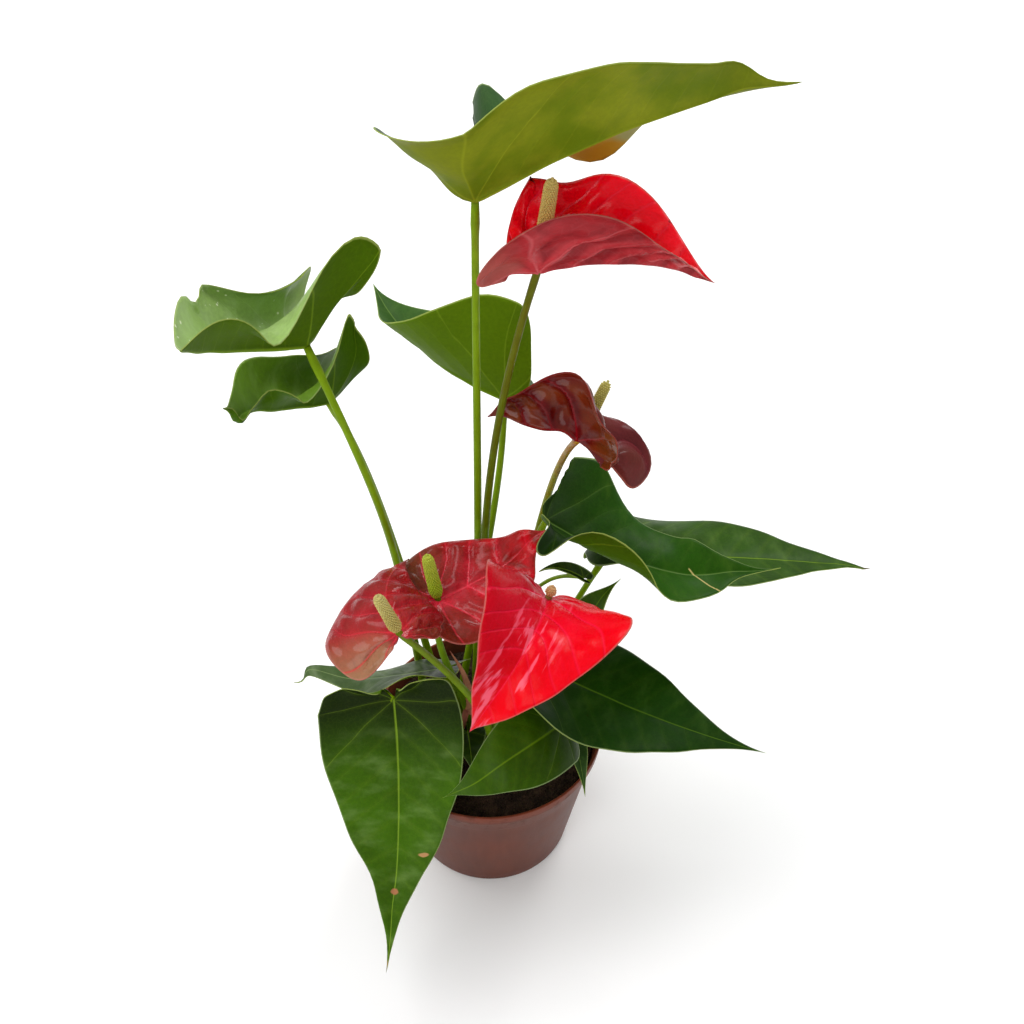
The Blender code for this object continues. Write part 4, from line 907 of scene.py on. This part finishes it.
blooms = {
    "top": {
        "slot": "spathe_red", "stipe": 3.0, "spadix": (0.13, 0.15, 0.98), "spadixLength": 36,
        "spadixRadius": 3.0, "stalk": ((78, 106, 2), (94, 88, 6)),
        "ripe": ((222, 184, 104), (226, 204, 124)),
        "upper": {"base": (255, 0, 30), "dark": (226, 0, 14), "vein": (255, 50, 84), "glow": 0.2,
                  "crease": 3.0, "coat": 0.26},
        "under": {"base": (190, 56, 62), "dark": (134, 20, 26), "vein": (208, 96, 100),
                  "lobe": (164, 78, 70), "lobeFrom": 0.3, "lobeTo": 1.0, "lobeVeins": 0.3, "glow": 0.1,
                  "blister": (120, 22, 28), "crease": 1.5},
        "relief": {"quilt": 2.3, "ripple": 0.6},
        "blade": {
            "junction": (22, 5, 385), "tip": (94, 20, 367), "width": 72, "roll": -5, "twist": 20,
            "arch": 8, "bow": -2, "fold": (50, 50), "curl": (10, 25), "lobes": (35, -30),
            "waves": ((6, 1.6, 155), (5, 1.3, 5)),
            "pulls": (
                (0.0, 0.96, 12, (7, 0, 0)), (0.4, 0.85, 12, (-2.7, 1.1, 1)),
                (-0.2, -0.6, 8, (-1.3, -2.2, -2)), (0.16, -1.0, 10, (0, -1.3, -1.2)))},
        "stem": {"foot": (-2, 8), "rise": (-4, 25, 177), "reach": (-4, 11, 275), "radius": 2.1},
    },
    "middle": {
        "slot": "spathe_maroon", "stipe": 3.0, "spadix": (0.44, 0.56, 0.66), "spadixLength": 26,
        "spadixRadius": 2.7, "stalk": ((116, 134, 14), (190, 118, 46), 0.9),
        "ripe": ((184, 172, 84), (206, 196, 112)),
        "upper": {"base": (124, 48, 50), "dark": (76, 26, 28), "vein": (142, 48, 60),
                  "blister": (96, 44, 36)},
        "under": {"base": (116, 4, 8), "dark": (74, 4, 4), "vein": (150, 4, 22), "lobe": (112, 54, 18),
                  "lobeFrom": 0.2, "lobeTo": 1.0, "blister": (112, 48, 16), "glow": 0.1, "coat": 0.34,
                  "crease": 1.4, "margin": (150, 36, 36)},
        "relief": {"quilt": 3.2, "veins": 3.4, "basal": 2.0, "ripple": 0.6},
        "blade": {
            "junction": (41, 12, 286), "tip": (1, 28, 286), "width": 65, "roll": 45, "twist": 10,
            "arch": 8, "bow": 6, "fold": (50, 45), "curl": (10, 0), "lobes": (-10, -30),
            "waves": ((-3, 1.5, 95), (-3, 1.9, 30)), "outline": {"lobe": 0.45, "widest": 0.1},
            "pulls": (
                (0.5, 0.0, 13, (0, -5.4, -5)), (0.6, 0.52, 9, (1, -4.2, -3.9)),
                (0.35, 0.85, 9, (1.8, -3.8, -3.6)), (0.1, 1.0, 9, (-4, -5.6, -5.2)),
                (-0.11, 0.96, 8, (-6, -4.2, -3.9)), (-0.34, 0.84, 8, (-8.2, 0, 0)),
                (-0.45, 0.6, 7, (-3.6, 2.4, 2.2)), (0.35, -0.85, 9, (-1, -4.5, -4.2)),
                (0.1, -1.0, 9, (-6.3, -4.5, -4.1)), (-0.34, -0.84, 8, (3.8, -0.7, -0.7)),
                (-0.45, -0.6, 8, (5.7, 5, 4.8)), (-0.45, -0.4, 8, (5.8, 7.5, 7)))},
        "stem": {"foot": (0, 15), "rise": (18, 53, 119), "reach": (29, 87, 197), "radius": 2.1},
    },
    "centre": {
        "slot": "spathe_rose", "stipe": 2.0, "spadix": (-0.18, 0.25, 0.95), "spadixLength": 23,
        "spadixRadius": 3.0, "stalk": ((88, 122, 8), (104, 132, 12)),
        "ripe": ((168, 190, 44), (198, 208, 76)),
        "upper": {"base": (216, 2, 18), "dark": (126, 14, 14), "vein": (250, 56, 80), "lobe": (96, 56, 28),
                  "rightLobe": (104, 42, 24), "lobeVeins": 0.25, "lobeFrom": 0.12, "lobeTo": 0.6,
                  "glow": 1.2, "crease": 3.6, "blister": (104, 40, 24), "coat": 0.4},
        "under": {"base": (168, 44, 54), "dark": (124, 40, 42), "vein": (196, 96, 100)},
        "relief": {"quilt": 1.7, "ripple": 0.8, "veins": 4.0, "lobeStart": 27.0},
        "blade": {
            "junction": (-22, -21, 216), "tip": (29, 7, 233), "width": 55, "roll": 0, "twist": 5,
            "arch": -5, "bow": 0, "fold": (10, 0), "curl": (-5, -10), "lobes": (30, 35),
            "waves": ((1, 1.5, 20), (-2, 1.5, 40)), "outline": {"sinus": 0.03}, "sinusAngle": 176.0,
            "pulls": (
                (0.84, 0.22, 8, (-0.5, -0.8, 7.4)), (1.0, 0.0, 7, (0, -2.7, 3)),
                (0.62, -0.52, 9, (3.6, 0, 0)))},
        "stem": {"foot": (-11, -3), "rise": (-4, -4, 119), "reach": (-30, -18, 164), "radius": 2.1},
    },
    "left": {
        "slot": "spathe_rose", "stipe": 2.0, "spadix": (-0.34, 0.08, 0.94), "spadixLength": 22,
        "spadixRadius": 2.9, "stalk": ((90, 118, 8), (108, 128, 14)),
        "ripe": ((190, 172, 100), (208, 196, 124)),
        "upper": {"base": (174, 14, 26), "dark": (120, 16, 18), "vein": (214, 44, 58),
                  "lobe": (154, 116, 82), "rightLobe": (108, 46, 28), "lobeFrom": 0.1, "lobeTo": 1.0,
                  "lobeVeins": 0.35, "glow": 1.2, "crease": 3.4, "blister": (122, 36, 28), "coat": 0.38},
        "under": {"base": (160, 52, 58), "dark": (124, 46, 46), "vein": (196, 110, 108)},
        "relief": {"quilt": 1.8, "veins": 5.0, "ripple": 0.8, "lobeStart": 22.0},
        "blade": {
            "junction": (-37, -57, 237), "tip": (-36, -2, 223), "width": 66, "roll": -45, "twist": 10,
            "arch": 8, "bow": 3, "fold": (10, -62), "curl": (5, -10), "lobes": (10, -20),
            "waves": ((2, 1.5, 35), (0, 1.5, 5)),
            "pulls": (
                (-0.16, 0.2, 8, (0, 3, 3)), (-0.16, -0.25, 8, (-2, 3, 2.8)),
                (0.0, -0.96, 16, (-10, 0, 0)))},
        "stem": {"foot": (-3, -16), "rise": (15, -33, 137), "reach": (-24, -42, 198), "radius": 2.1},
    },
    "front": {
        "slot": "spathe_red", "stipe": 1.5, "spadix": (0.3, 0.3, 0.9), "spadixLength": 4.8,
        "spadixRadius": 2.3, "stalk": ((84, 116, 20), (140, 104, 54)),
        "ripe": ((200, 150, 100), (216, 176, 124)),
        # painted shade in the half colour, for the darker right half; painted highlight in the streak
        # colour, for the pale gloss streaks
        "upper": {"base": (240, 0, 14), "dark": (212, 0, 10), "vein": (246, 30, 74), "glow": 0.6,
                  "half": (168, 0, 14), "coat": 0.07, "streak": (255, 120, 150), "margin": (200, 120, 110)},
        "under": {"base": (184, 30, 52), "dark": (146, 22, 38), "vein": (214, 104, 116)},
        "relief": {"quilt": 0.8, "ripple": 0.6},
        "blade": {
            "junction": (28, -40, 240), "tip": (-6, -95, 218), "width": 66, "roll": -25, "twist": -5,
            "arch": 27, "bow": 0, "fold": (20, 10), "curl": (0, 0), "lobes": (-10, -25),
            "waves": ((6, 1.5, 0), (1, 1.5, 325)),
            "pulls": (
                (0.0, -0.96, 8, (-2.6, -2.6, -2.4)), (-0.14, -0.84, 8, (-1.7, -3.6, -3.4)),
                (-0.2, -0.6, 8, (-1.5, -2.4, -2.2)), (0.4, -0.85, 10, (2.6, 0, 0)),
                (0.82, -0.18, 9, (-3.6, 0, 0)), (0.82, 0.18, 10, (0, -3.4, -3.1)),
                (0.62, 0.52, 10, (0, -2.2, -2)), (0.16, 1.0, 9, (2.6, 0, 0)))},
        "stem": {"foot": (3, -9), "rise": (4, -25, 130), "reach": (-5, -47, 184), "radius": 2.1},
    },
}

floretLook = {"spacing": 1.25, "width": 0.62, "height": 0.55, "dot": 0.2, "gap": 0.3, "topShare": 0.55}

# a four-sided floret with a round stigma on every point of the spike
floretTree = growTree("florets", {"Floret width": "Float", "Floret height": "Float", "Stigma": "Float"}, (
    ("topWidth", "ShaderNodeMath", {"operation": "MULTIPLY"},
     {0: "given.Floret width", 1: floretLook["topShare"]}),
    ("cone", "GeometryNodeMeshCone", {},
     {"Vertices": 4, "Radius Top": "topWidth", "Radius Bottom": "given.Floret width",
      "Depth": "given.Floret height"}),
    ("ball", "GeometryNodeMeshIcoSphere", {}, {"Radius": "given.Stigma"}),
    ("height", "ShaderNodeCombineXYZ", {}, {"Z": "given.Floret height"}),
    ("stigma", "GeometryNodeTransform", {}, {"Geometry": "ball.Mesh", "Translation": "height"}),
    ("floret", "GeometryNodeJoinGeometry", {}, {0: "cone.Mesh + stigma"}),
    ("normal", "GeometryNodeInputNormal", {}, {}),
    ("aim", "FunctionNodeAlignRotationToVector", {"axis": "Z"}, {"Vector": "normal"}),
    ("placed", "GeometryNodeInstanceOnPoints", {},
     {"Points": "given.Geometry", "Instance": "floret", "Rotation": "aim"})))


def spadixSpike(name, foot, heading, length, radius):
    # the spike as staggered rings, one point for each floret
    side = unit(np.cross(heading, (0.31, 0.95, 0.1)))
    front = np.cross(heading, side)
    around = max(10, int(round(2.0 * math.pi * radius / floretLook["spacing"])))
    rows = max(4, int(round(length / (floretLook["spacing"] * 0.8))))
    domeFrom = 1.0 - 1.2 * radius / length
    points, faces = [], []
    for i in range(rows + 1):
        climb = i / rows
        cap = math.sqrt(max(0.0, 1.0 - max(0.0, (climb - domeFrom) / (1.0 - domeFrom)) ** 2))
        r = radius * min(1.0, 0.7 + climb * 3.0) * (1.0 - 0.2 * climb) * max(0.12, cap) - 0.25
        centre = foot + heading * (0.4 + (length - 0.9) * climb)
        for j in range(around):
            angle = 2.0 * math.pi * (j + 0.5 * (i % 2)) / around
            points.append(centre + (side * math.cos(angle) + front * math.sin(angle)) * max(0.15, r))
    for i in range(rows):
        for j in range(around):
            k = (j + 1) % around
            a, b, c, d = i * around + j, i * around + k, (i + 1) * around + j, (i + 1) * around + k
            faces.extend([(a, b, c), (b, d, c)] if i % 2 == 0 else [(a, d, c), (a, b, d)])
    faces.append(tuple(range(around - 1, -1, -1)))
    faces.append(tuple(rows * around + j for j in range(around)))
    mesh = bpy.data.meshes.new(name)
    mesh.from_pydata([tuple(p * mm) for p in points], [], faces)
    climb = np.repeat(np.arange(rows + 1) / rows, around).astype(np.float32)
    mesh.attributes.new("climb", "FLOAT", "POINT").data.foreach_set("value", climb)
    return stand(name, mesh)


def growBloom(place, bloom, seed):
    lean = unit(bloom["spadix"])
    spathe = Piece("spathe_%s_skin" % place)
    spathe.addBlade(bloom["blade"], spatheHeart, {**spatheRelief, **bloom["relief"]}, seed)
    skins = [spatheSkin("spathe_%s_upper" % place, bloom["upper"]),
             spatheSkin("spathe_%s_under" % place, bloom["under"], under=True)]
    settle(spathe.make(skins), bloom["slot"], "spathe_" + place)

    junction = np.array(bloom["blade"]["junction"], float)
    path = np.vstack([stalkPath(bloom["stem"], junction), junction + lean * bloom["stipe"]])
    stalk = Piece("peduncle_%s_skin" % place)
    stalk.addTube(path, stalkRadii(bloom["stem"], path, stalkLook["bloomSwell"]), stalkLook["sides"], 0)
    skin = stalkSkin("peduncle_%s_surface" % place, *bloom["stalk"])
    settle(stalk.make([skin]), "stalk_green", "peduncle_" + place)

    spike = spadixSpike("spadix_%s_florets" % place, path[-1] + lean * floretLook["gap"], lean,
                        bloom["spadixLength"], bloom["spadixRadius"])
    runTree(spike, floretTree, {
        "Floret width": floretLook["width"] * mm, "Floret height": floretLook["height"] * mm,
        "Stigma": floretLook["dot"] * mm, "Skin": spadixSkin("spadix_%s_surface" % place, *bloom["ripe"])})
    settle(spike, "spadix_cream", "spadix_" + place)


for seed, (place, bloom) in enumerate(blooms.items()):
    growBloom(place, bloom, 40 + seed)
print("blooms grown:", len(blooms))


# Crown: papery sheath and the pink new shoot

sheath = {
    "blade": {
        "junction": (-11.5, -8, 112), "tip": (-18.5, -9.5, 163), "width": 9, "roll": 0, "twist": 40,
        "arch": 3, "bow": 0, "fold": (40, 40), "curl": (20, 20), "lobes": (0, 0),
        "waves": ((1, 1.5, 0), (1, 1.5, 90)), "outline": {"lobe": 0.05}},
    "stem": {"foot": (-20, -9), "rise": (-19, -9, 78), "reach": (-13, -8, 96), "radius": 1.6, "points": 8},
    "sides": 12,
    "look": {"base": (232, 166, 128), "vein": (190, 108, 92), "bloom": (242, 188, 154),
             "under": (220, 150, 116), "underVein": (176, 100, 86), "margin": (166, 92, 80), "shade": 0.0},
}
shoot = {"path": ((-28, -14, 66), (-28, -14, 90), (-26, -17, 110), (-23, -20, 128)), "radius": 1.8,
         "tip": 0.3, "points": 40, "taper": (0.35, 1.05), "sides": 16, "groove": 0.25,
         "look": ((150, 96, 84), (196, 120, 108), 0.3)}

crown = Piece("sheath_front_skin")
crown.addBlade(sheath["blade"], leafHeart, smallRelief, 70)
path = stalkPath(sheath["stem"], sheath["blade"]["junction"])
crown.addTube(path, np.full(len(path), sheath["stem"]["radius"]), sheath["sides"], 1)
skins = [leafSkin("sheath_paper_upper", sheath["look"]), leafUnderskin("sheath_paper_under", sheath["look"])]
settle(crown.make(skins), "sheath_brown", "sheath_front")

bud = Piece("new_shoot_skin")
share = np.linspace(0.0, 1.0, shoot["points"])
radii = shoot["radius"] * (1.0 - smooth(share, *shoot["taper"])) + shoot["tip"]
bud.addTube(bezier(shoot["path"], share), radii, shoot["sides"], 0, shoot["groove"])
settle(bud.make([stalkSkin("new_shoot_surface", *shoot["look"])]), "shoot_pink", "new_shoot")
print("crown grown")


# Pot: one turned plastic wall with drain holes

pot = {"height": 90.0, "rim": 60.0, "base": 44.0, "wall": 1.3, "lipHeight": 6.5, "lipStep": 1.6,
       "stepZ": 73.0, "step": 0.7, "segments": 160, "holes": 6, "holeRadius": 3.5, "holeCircle": 25.0,
       "drill": 6.0, "ringHeight": 6.0, "sharp": 50.0, "lipTint": (83.5, 87.0), "dust": (70.0, 84.0)}


def potSkin():
    # moulded brown plastic: satin, faint streaks and scuffs, dust of soil near the lip
    material, shader, start = startMaterial("pot_plastic", specular=0.1, coat=0.12, coatRoughness=0.2)
    place = objectPlace(start)
    height = place.node("SeparateXYZ", {}, {0: place}, 2)
    streak = place.stretched(1.0, 1.0, 0.12).noise(220.0, 3.0).rise(0.3, 0.75)
    cloud = place.noise(34.0, 3.0).rise(0.3, 0.75)
    scuff = place.stretched(1.0, 1.0, 0.25).noise(1500.0, 2.0).rise(0.62, 0.8)
    lip, dust = (height.rise(*(z * mm for z in pot[key])) for key in ("lipTint", "dust"))
    dust = dust * place.noise(260.0, 4.0).rise(0.5, 0.72)
    colour = layered((cloud * 0.6 + streak * 0.4).between((87, 42, 28), (106, 54, 38)),
                     (scuff * 0.15, (160, 116, 100)), (lip * 0.55, (124, 56, 34)),
                     (dust * 0.4, (52, 36, 26)))
    rough = 0.42 + cloud * 0.08 + scuff * 0.2 + dust * 0.15
    relief = streak * 0.3 + place.noise(2400.0, 1.0) * 0.4
    return finishMaterial(material, shader, colour, rough, relief, 0.0001, 0.4)


def outerRadius(z):
    # the pot's wall below its lip
    return pot["base"] + (pot["rim"] - pot["lipStep"] - pot["base"]) * z / pot["height"]


def turnPot():
    wallTop, stepZ, stepRadius = pot["rim"] - pot["lipStep"], pot["stepZ"], outerRadius(pot["stepZ"])
    wall, top, lipZ = pot["wall"], pot["height"], pot["height"] - pot["lipHeight"]
    # from the middle of the base up the outer side, over the lip and down inside; last is the rounding
    corners = [
        (0.0, 0.0, 0.0), (pot["base"] - 0.6, 0.0, 1.2), (stepRadius, stepZ - 0.8, 0.3),
        (stepRadius + pot["step"], stepZ, 0.3), (wallTop, lipZ - 0.2, 0.25), (pot["rim"] - 0.5, lipZ, 0.4),
        (pot["rim"], top, 0.6), (pot["rim"] - wall, top, 0.5), (wallTop - wall, lipZ, 0.5),
        (stepRadius - wall, stepZ, 0.3), (pot["base"] - wall, wall, 1.0), (0.0, wall, 0.0)]
    profile = []
    for i, (r, z, roundness) in enumerate(corners):
        here = np.array((r, z))
        if roundness == 0.0:
            profile.append(here)
            continue
        entry, leave = (here + unit(np.array(corners[i + side][:2]) - here) * roundness for side in (-1, 1))
        for t in np.linspace(0.0, 1.0, 5):
            profile.append((1 - t) ** 2 * entry + 2 * t * (1 - t) * here + t * t * leave)
    # rings between the corners keep the faces near square
    fine = [profile[0]]
    for a, b in zip(profile, profile[1:]):
        pieces = max(1, int(math.dist(a, b) / pot["ringHeight"]))
        fine.extend(a + (b - a) * k / pieces for k in range(1, pieces + 1))
    shape = bmesh.new()
    chain = [shape.verts.new((r * mm, 0.0, z * mm)) for r, z in fine]
    edges = [shape.edges.new(pair) for pair in zip(chain, chain[1:])]
    bmesh.ops.spin(shape, geom=chain + edges, cent=(0, 0, 0), axis=(0, 0, 1), angle=2.0 * math.pi,
                   steps=pot["segments"], use_merge=True)
    bmesh.ops.remove_doubles(shape, verts=shape.verts, dist=1e-6)
    bmesh.ops.recalc_face_normals(shape, faces=shape.faces)
    thing = stand("pot_moulded", meshFrom(shape, "pot_moulded"))
    drills = []
    for i in range(pot["holes"]):
        angle = 2.0 * math.pi * i / pot["holes"]
        shape = bmesh.new()
        bmesh.ops.create_cone(shape, cap_ends=True, segments=32, radius1=pot["holeRadius"] * mm,
                              radius2=pot["holeRadius"] * mm, depth=pot["drill"] * mm)
        where = Vector((math.cos(angle), math.sin(angle), 0.0)) * pot["holeCircle"] * mm
        bmesh.ops.translate(shape, verts=shape.verts, vec=where)
        drills.append(stand("drill", meshFrom(shape, "drill")))
        cut = thing.modifiers.new("hole", "BOOLEAN")
        cut.operation, cut.object = "DIFFERENCE", drills[-1]
    view = bpy.context.evaluated_depsgraph_get()
    finished = bpy.data.meshes.new_from_object(thing.evaluated_get(view))
    thing.modifiers.clear()
    thing.data = finished
    for drill in drills:
        bpy.data.objects.remove(drill)
    finished.materials.clear()
    finished.materials.append(potSkin())
    finished.shade_smooth()
    finished.set_sharp_from_angle(angle=math.radians(pot["sharp"]))
    return thing


settle(turnPot(), "pot_brown", "pot")
print("pot turned")


# Soil: a lumpy filling with loose crumbs on top

soil = {"top": 81.0, "lump": 1.1, "rings": 60, "segments": 144, "gap": 0.5, "crumbs": 460000.0, "seed": 5,
        "crumbSize": 0.00085, "least": (0.35, 0.3, 0.25), "most": (1.9, 1.1, 0.8),
        "sizeSeed": 3, "upward": 0.6}

# crumbs of a few sizes, strewn over the upward faces with a fixed seed
crumbTree = growTree("crumbs", {"Crumbs per square metre": "Float", "Crumb size": "Float", "Seed": "Int"}, (
    ("normal", "GeometryNodeInputNormal", {}, {}),
    ("apart", "ShaderNodeSeparateXYZ", {}, {0: "normal"}),
    ("upward", "FunctionNodeCompare", {"operation": "GREATER_THAN"}, {0: "apart.Z", 1: soil["upward"]}),
    ("scatter", "GeometryNodeDistributePointsOnFaces", {},
     {"Mesh": "given.Geometry", "Density": "given.Crumbs per square metre", "Seed": "given.Seed",
      "Selection": "upward"}),
    ("ball", "GeometryNodeMeshIcoSphere", {}, {"Subdivisions": 1, "Radius": "given.Crumb size"}),
    ("turn", "FunctionNodeRandomValue", {"data_type": "FLOAT_VECTOR"}, {"Max": (6.28, 6.28, 6.28)}),
    ("grow", "FunctionNodeRandomValue", {"data_type": "FLOAT_VECTOR"},
     {"Min": soil["least"], "Max": soil["most"], "Seed": soil["sizeSeed"]}),
    ("placed", "GeometryNodeInstanceOnPoints", {},
     {"Points": "scatter.Points", "Instance": "ball.Mesh", "Rotation": "turn", "Scale": "grow"})))


def soilSkin():
    material, shader, start = startMaterial("potting_soil", roughness=0.95, specular=0.15)
    place = objectPlace(start)
    coarse = place.noise(190.0, 4.0).rise(0.3, 0.7)
    fine = place.noise(1300.0, 3.0).rise(0.3, 0.75)
    fleck = place.cells(900.0, "F1").rise(0.12, 0.04) * place.noise(90.0, 2.0).rise(0.5, 0.65)
    colour = (coarse * 0.6 + fine * 0.4).between((24, 17, 12), (66, 48, 35))
    colour = (fleck * 0.5).between(colour, (120, 92, 66))
    return finishMaterial(material, shader, colour, None, coarse * 0.5 + fine * 0.5, 0.0006, 0.9)


def soilHeight(x, y):
    return soil["lump"] * (np.sin(0.21 * x + 1.3) * np.cos(0.17 * y) + 0.5 * np.sin(0.43 * (x - y)))


def fillSoil():
    def innerRadius(z):
        return outerRadius(z) - pot["wall"] - soil["gap"]

    top, n, floor = soil["top"], soil["segments"], pot["wall"] + 0.3
    edge = innerRadius(top)
    around = np.linspace(0.0, 2.0 * math.pi, n, endpoint=False)
    rings = [(edge * i / soil["rings"], top) for i in range(1, soil["rings"] + 1)]
    rings += [(innerRadius(z), z) for z in (60.0, floor + 1.5)] + [(innerRadius(floor) - 1.5, floor)]
    points = [np.array([[0.0, 0.0, top + soilHeight(0.0, 0.0)]])]
    for r, z in rings:
        x, y = r * np.cos(around), r * np.sin(around)
        lump = np.zeros(n)
        if z == top:
            lump = soilHeight(x, y) * smooth(r, edge, edge - 5.0) + 0.5 * ripple(90, x, y, 6.0)
        points.append(np.stack([x, y, z + lump], axis=1))
    faces = [(0, 1 + j, 1 + (j + 1) % n) for j in range(n)]
    last = 1 + (len(rings) - 1) * n
    for a in range(1, last, n):
        faces += [(a + j, a + n + j, a + n + (j + 1) % n, a + (j + 1) % n) for j in range(n)]
    faces.append(tuple(last + j for j in range(n - 1, -1, -1)))
    mesh = bpy.data.meshes.new("soil_crumbs")
    mesh.from_pydata((np.vstack(points) * mm).tolist(), [], faces)
    return runTree(stand("soil_crumbs", mesh), crumbTree, {
        "Crumbs per square metre": soil["crumbs"], "Seed": soil["seed"], "Crumb size": soil["crumbSize"],
        "Skin": soilSkin()})


settle(fillSoil(), "soil_brown", "soil")
print("soil filled")


# Stage: a pale floor, soft studio light and the photograph's camera

studio = {
    "floor": 6.0, "floorGrey": 0.97, "drop": 0.0002, "world": 0.55,
    "camera": (0.012, -0.461, 0.748), "pitch": 42.93, "focal": 1500.0, "frame": 1024.0, "sensor": 36.0,
    "lights": {  # place, target, size and power
        "key_light": ((-1.5, 0.4, 3.2), (0.0, 0.0, 0.2), 2.6, 62.0),
        "fill_light": ((-1.2, -2.5, 2.3), (0.0, 0.0, 0.2), 2.2, 34.0),
        "back_light": ((1.3, 2.0, 2.8), (0.0, 0.0, 0.25), 1.6, 52.0)},
}


def makeStage():
    material, shader, _ = startMaterial("pale_floor", roughness=0.6, specular=0.2)
    shader.inputs["Base Color"].default_value = (studio["floorGrey"],) * 3 + (1.0,)
    shape = bmesh.new()
    bmesh.ops.create_grid(shape, x_segments=1, y_segments=1, size=studio["floor"] / 2.0)
    floor = stand("floor", meshFrom(shape, "floor"))
    floor.data.materials.append(material)
    floor.location.z = -studio["drop"]


def addArea(name, place, target, size, power):
    light = bpy.data.lights.new(name, "AREA")
    light.shape, light.size, light.energy = "DISK", size, power
    lamp = stand(name, light)
    lamp.location = place
    lamp.rotation_euler = (Vector(target) - Vector(place)).to_track_quat("-Z", "Y").to_euler()


makeStage()
for name, facts in studio["lights"].items():
    addArea(name, *facts)
scene = bpy.context.scene
scene.world = bpy.data.worlds.new("studio")
scene.world.use_nodes = True
sky = scene.world.node_tree.nodes["Background"]
sky.inputs["Color"].default_value = (1.0, 1.0, 1.0, 1.0)
sky.inputs["Strength"].default_value = studio["world"]
scene.view_settings.view_transform = "Standard"

camera = stand("camera", bpy.data.cameras.new("camera"))
camera.location = studio["camera"]
camera.rotation_euler = (math.radians(studio["pitch"]), 0.0, 0.0)
camera.data.sensor_width = studio["sensor"]
camera.data.lens = studio["focal"] * studio["sensor"] / studio["frame"]
scene.camera = camera
print("stage set")
